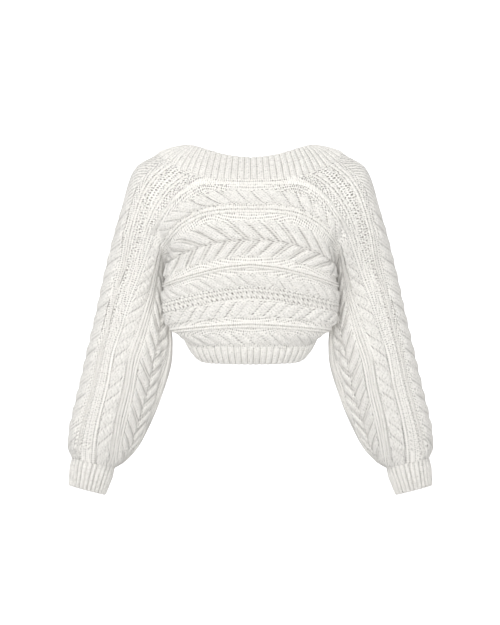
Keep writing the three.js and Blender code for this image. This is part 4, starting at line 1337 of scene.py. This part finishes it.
def ribbed(name, node, points, phase, length, mirrored, wales=3, start=0.12, groove=1.5):
    """Makes a ribbed piece on a net of points, whose rows go from sewn edge to free edge.

    wales is the columns of stitches to a rib, start the share of the length over which the ribs
    rise, and groove how dark the painted shade is between two of them.
    """
    rows, places = points.shape[:2]
    share = np.linspace(0, 1, rows)
    normals = surface_normals(points, -1)
    closed = np.allclose(points[:, 0], points[:, -1])
    if closed:
        normals[:, 0] = normals[:, -1] = unit(normals[:, 0] + normals[:, -1])
    profile = rib_profile(phase)
    body = smooth(share, 0.0, start) * (1 - RIB_THIN[0] * smooth(share, RIB_THIN[1], 1.0))
    outer = points + normals * (GROUND + RIB_RELIEF * profile * body[:, None])[..., None]
    # A lip under the neighbour's edge, then the plain inside.
    onwards = (points[1:2] - points[:1]) / (share[1] * length)
    lip = outer[:1] - onwards * LIP[0] - normals[:1] * LIP[1]
    back_rows = np.array([rows - 1, rows - 2, *INSIDE_ROWS])
    inner = points[back_rows] + normals[back_rows] * (GROUND - WALL)
    whole = np.concatenate([lip, outer, inner, lip])
    order = np.concatenate([[0], np.arange(rows), back_rows, [0]])
    u = np.tile((share * length / COURSE)[order, None], (1, places))
    v = np.tile(phase * wales + wales / 2 + 0.5, (len(order), 1))
    values = {
        "purl": np.tile(0.7 * (1 - smooth(profile, 0.1, 0.5)), (len(order), 1)),
        # Painted shade in the grooves between ribs.
        "deep": np.tile(groove * (1 - smooth(profile, 0.0, 0.6)), (len(order), 1)),
        "loose": np.zeros(whole.shape[:2]),
    }
    caps = [] if closed else [list(range(len(whole) - 1))]
    net = whole, np.stack([u, v], -1), values, caps
    return knit_piece(name, node, net, along_rows=False, mirrored=mirrored, inside_out=True)


# %% [markdown]
# ## The rib round the opening
#
# The collar, the two fronts and the hem are stretches of one ring. They could be one piece, but
# each stands for its own solid. Each has as many whole ribs as fit its length, and bows out a
# little between its edges, as a springy band does.

# %% Collar, fronts and hem
RIB_PITCH = 11.5  # from one rib to the next
RIB_BOW = 3.0  # how far the band bows out


def band_point(t, share):
    """Points of the rib ring at places t (one per column) and shares (one per row)."""
    flip = (t < 0) | (t > RING_END)
    at = np.where(t < 0, -t, np.where(t > RING_END, 2 * RING_END - t, t))
    seam, edge, normal = ring_seam(at), ring_edge(at), ring_normal(at)
    s = share[:, None, None]
    points = seam + (edge - seam) * s + normal * RIB_BOW * np.sin(math.pi * s)
    return np.where(flip[:, None], mirror_x(points), points)


def rib_band(name, node, low, high, mirrored=False):
    """Makes a stretch of the ring, and gives it with its length round the ring and of its ribs."""
    fine = np.linspace(low, high, 1201)
    run = runs(band_point(fine, np.array([0.5]))[0])
    ribs = round(run[-1] / RIB_PITCH)
    t = np.interp(np.linspace(0, run[-1], ribs * RIB_PLACES + 1), run, fine)
    points = band_point(t, np.linspace(0, 1, RIB_ROWS))
    length = runs(points)[-1].mean()
    piece = ribbed(name, node, points, np.linspace(0, ribs, len(t)), length, mirrored)
    return piece, run[-1], length, None


for name, node, low, high, mirrored in (
    ("rib_collar", "collar_band", -RIDGE, RIDGE, False),
    ("rib_front_right", "front_band_right", RIDGE, HEM_FROM, False),
    ("rib_front_left", "front_band_left", RIDGE, HEM_FROM, True),
    ("rib_hem", "hem_band", HEM_FROM, 2 * RING_END - HEM_FROM, False),
):
    cloths[name] = rib_band(name, node, low, high, mirrored)

# %% [markdown]
# ## The cuffs
#
# A cuff is a short ribbed tube that goes on from the last section of the sleeve. Its ribs are
# finer, two columns of stitches each, and they rise slowly out of the gathers. A cylinder could be
# bent into place, but an oval at either end already gives its slant and its slight taper.

# %% Cuffs
CUFF_RIBS = 28
CUFF_BOW = np.array([0, 0, 0, 0, 0, 2.0])  # the middle of a cuff is this much deeper


def cuff(name, node, mirrored):
    """Makes a cuff, and gives it with its width all round and its length."""
    top = SLEEVE[-1][:6]
    angle = np.linspace(0, 360, CUFF_RIBS * RIB_PLACES + 1)
    points = np.array([
        oval(top + (CUFF_END - top) * share + CUFF_BOW * math.sin(math.pi * share), angle)
        for share in np.linspace(0, 1, RIB_ROWS)
    ])
    length = runs(points)[-1].mean()
    phase = np.linspace(0, CUFF_RIBS, len(angle))
    # The cuff's finer grooves get darker painted shade.
    piece = ribbed(name, node, points, phase, length, mirrored, wales=2, start=0.35, groove=2.4)
    return piece, runs(points.swapaxes(0, 1))[-1].mean(), length, None


cloths["rib_cuff_right"] = cuff("rib_cuff_right", "cuff_right", False)
cloths["rib_cuff_left"] = cuff("rib_cuff_left", "cuff_left", True)

# %% [markdown]
# ## Cloth sizes
#
# Each piece's flat size is the size it is knitted to: its width and length along the cloth. The
# back and the sleeves are shaped, so they have an area too. They are gathered into the ribs, and
# the ribs hang from what they are sewn to. Each function above gives these sizes back with its
# piece, and `cloths` keeps them.

# %% [markdown]
# ## The room
#
# Pale cloth is shown against white paper that curves up behind it. A plain white wall would look
# grey wherever the lamps don't reach, and would throw light back on the cloth. So this paper glows
# by itself, lights nothing, and goes all the way round.

# %% Cove of white paper
# Half of its section, in metres: how far out, and how high.
COVE = [(0, -1.3), (8.4, -1.3), (9.2, -1.15), (9.7, -0.8), (10.0, -0.2), (10.0, 6.0)]


def white_paper():
    """Paper that looks white by its own light, without gloss."""
    material = bpy.data.materials.new("white_paper")
    material.use_nodes = True
    shader = material.node_tree.nodes["Principled BSDF"]
    shader.inputs["Base Color"].default_value = linear("#ffffff")
    shader.inputs["Roughness"].default_value = 1.0
    shader.inputs["Specular IOR Level"].default_value = 0.0
    shader.inputs["Emission Color"].default_value = linear("#fdfdff")
    shader.inputs["Emission Strength"].default_value = 1.0
    return material


def room():
    """A round cove, the same from every side."""
    bm = bmesh.new()
    line = [bm.verts.new((r, 0, z)) for r, z in COVE]
    edges = [bm.edges.new(pair) for pair in zip(line, line[1:])]
    bmesh.ops.spin(bm, geom=line + edges, cent=(0, 0, 0), axis=(0, 0, 1), angle=2 * math.pi,
                   steps=48, use_merge=True)
    bmesh.ops.remove_doubles(bm, verts=bm.verts, dist=0.0001)
    mesh = bpy.data.meshes.new("room")
    bm.to_mesh(mesh)
    bm.free()
    mesh.polygons.foreach_set("use_smooth", np.ones(len(mesh.polygons), dtype=bool))
    mesh.materials.append(white_paper())
    obj = bpy.data.objects.new("room", mesh)
    bpy.context.collection.objects.link(obj)
    obj.visible_diffuse = False
    obj.visible_glossy = False
    print("Cove:", len(mesh.polygons), "faces")


room()

# %% [markdown]
# ## Light
#
# A pale sky lights every side alike, and three soft lamps give the cables their shade: one above
# the camera's left, and a large one before and behind. The pictures use the Standard view with a
# raised gamma, because a filmic view would grey the small dark gaps between the stitches, and
# those gaps are what makes pale cloth look knitted.

# %% Sky and lamps
SKY_STRENGTH = 0.69
GAMMA = 1.35
LAMPS_AIM = Vector((0, 0, -0.3))
# Name, place, size and power.
LAMPS = [
    ("key", (-0.9, -2.2, 2.9), 1.3, 38),
    ("front", (-0.9, -7.5, 0.4), 4.5, 450),
    ("behind", (0.9, 7.5, 0.8), 4.5, 380),
]


def area_light(name, place, size, power):
    """Adds a square lamp that faces the garment; size is in metres and power in watts."""
    light = bpy.data.lights.new(name, "AREA")
    light.size = size
    light.energy = power
    obj = bpy.data.objects.new(name, light)
    obj.location = place
    obj.rotation_euler = (LAMPS_AIM - Vector(place)).to_track_quat("-Z", "Y").to_euler()
    obj.visible_camera = False
    bpy.context.collection.objects.link(obj)


world = bpy.data.worlds.new("studio")
world.use_nodes = True
world.node_tree.nodes["Background"].inputs["Color"].default_value = linear("#ffffff")
world.node_tree.nodes["Background"].inputs["Strength"].default_value = SKY_STRENGTH
bpy.context.scene.world = world
bpy.context.scene.view_settings.view_transform = "Standard"
bpy.context.scene.view_settings.gamma = GAMMA
for lamp in LAMPS:
    area_light(*lamp)
print("Lamps:", [lamp[0] for lamp in LAMPS])

# %% [markdown]
# ## Camera
#
# The camera looks level at the back of the garment, from far off and with a long lens, so that
# the near parts don't look too large.

# %% Camera behind the wearer
DISTANCE = 6.5  # metres from the camera to the middle of the view
VIEW_HEIGHT = 1.156  # metres that the frame's height covers there
VIEW_MIDDLE = (-0.001, -0.03, -0.3136)
SENSOR = 36  # mm
camera = bpy.data.objects.new("camera", bpy.data.cameras.new("camera"))
camera.data.sensor_width = SENSOR
camera.data.lens = SENSOR * DISTANCE / VIEW_HEIGHT
camera.location = (VIEW_MIDDLE[0], VIEW_MIDDLE[1] - DISTANCE, VIEW_MIDDLE[2])
camera.rotation_euler = (math.radians(90), 0, 0)
bpy.context.collection.objects.link(camera)
bpy.context.scene.camera = camera
print("Lens, mm:", round(camera.data.lens))
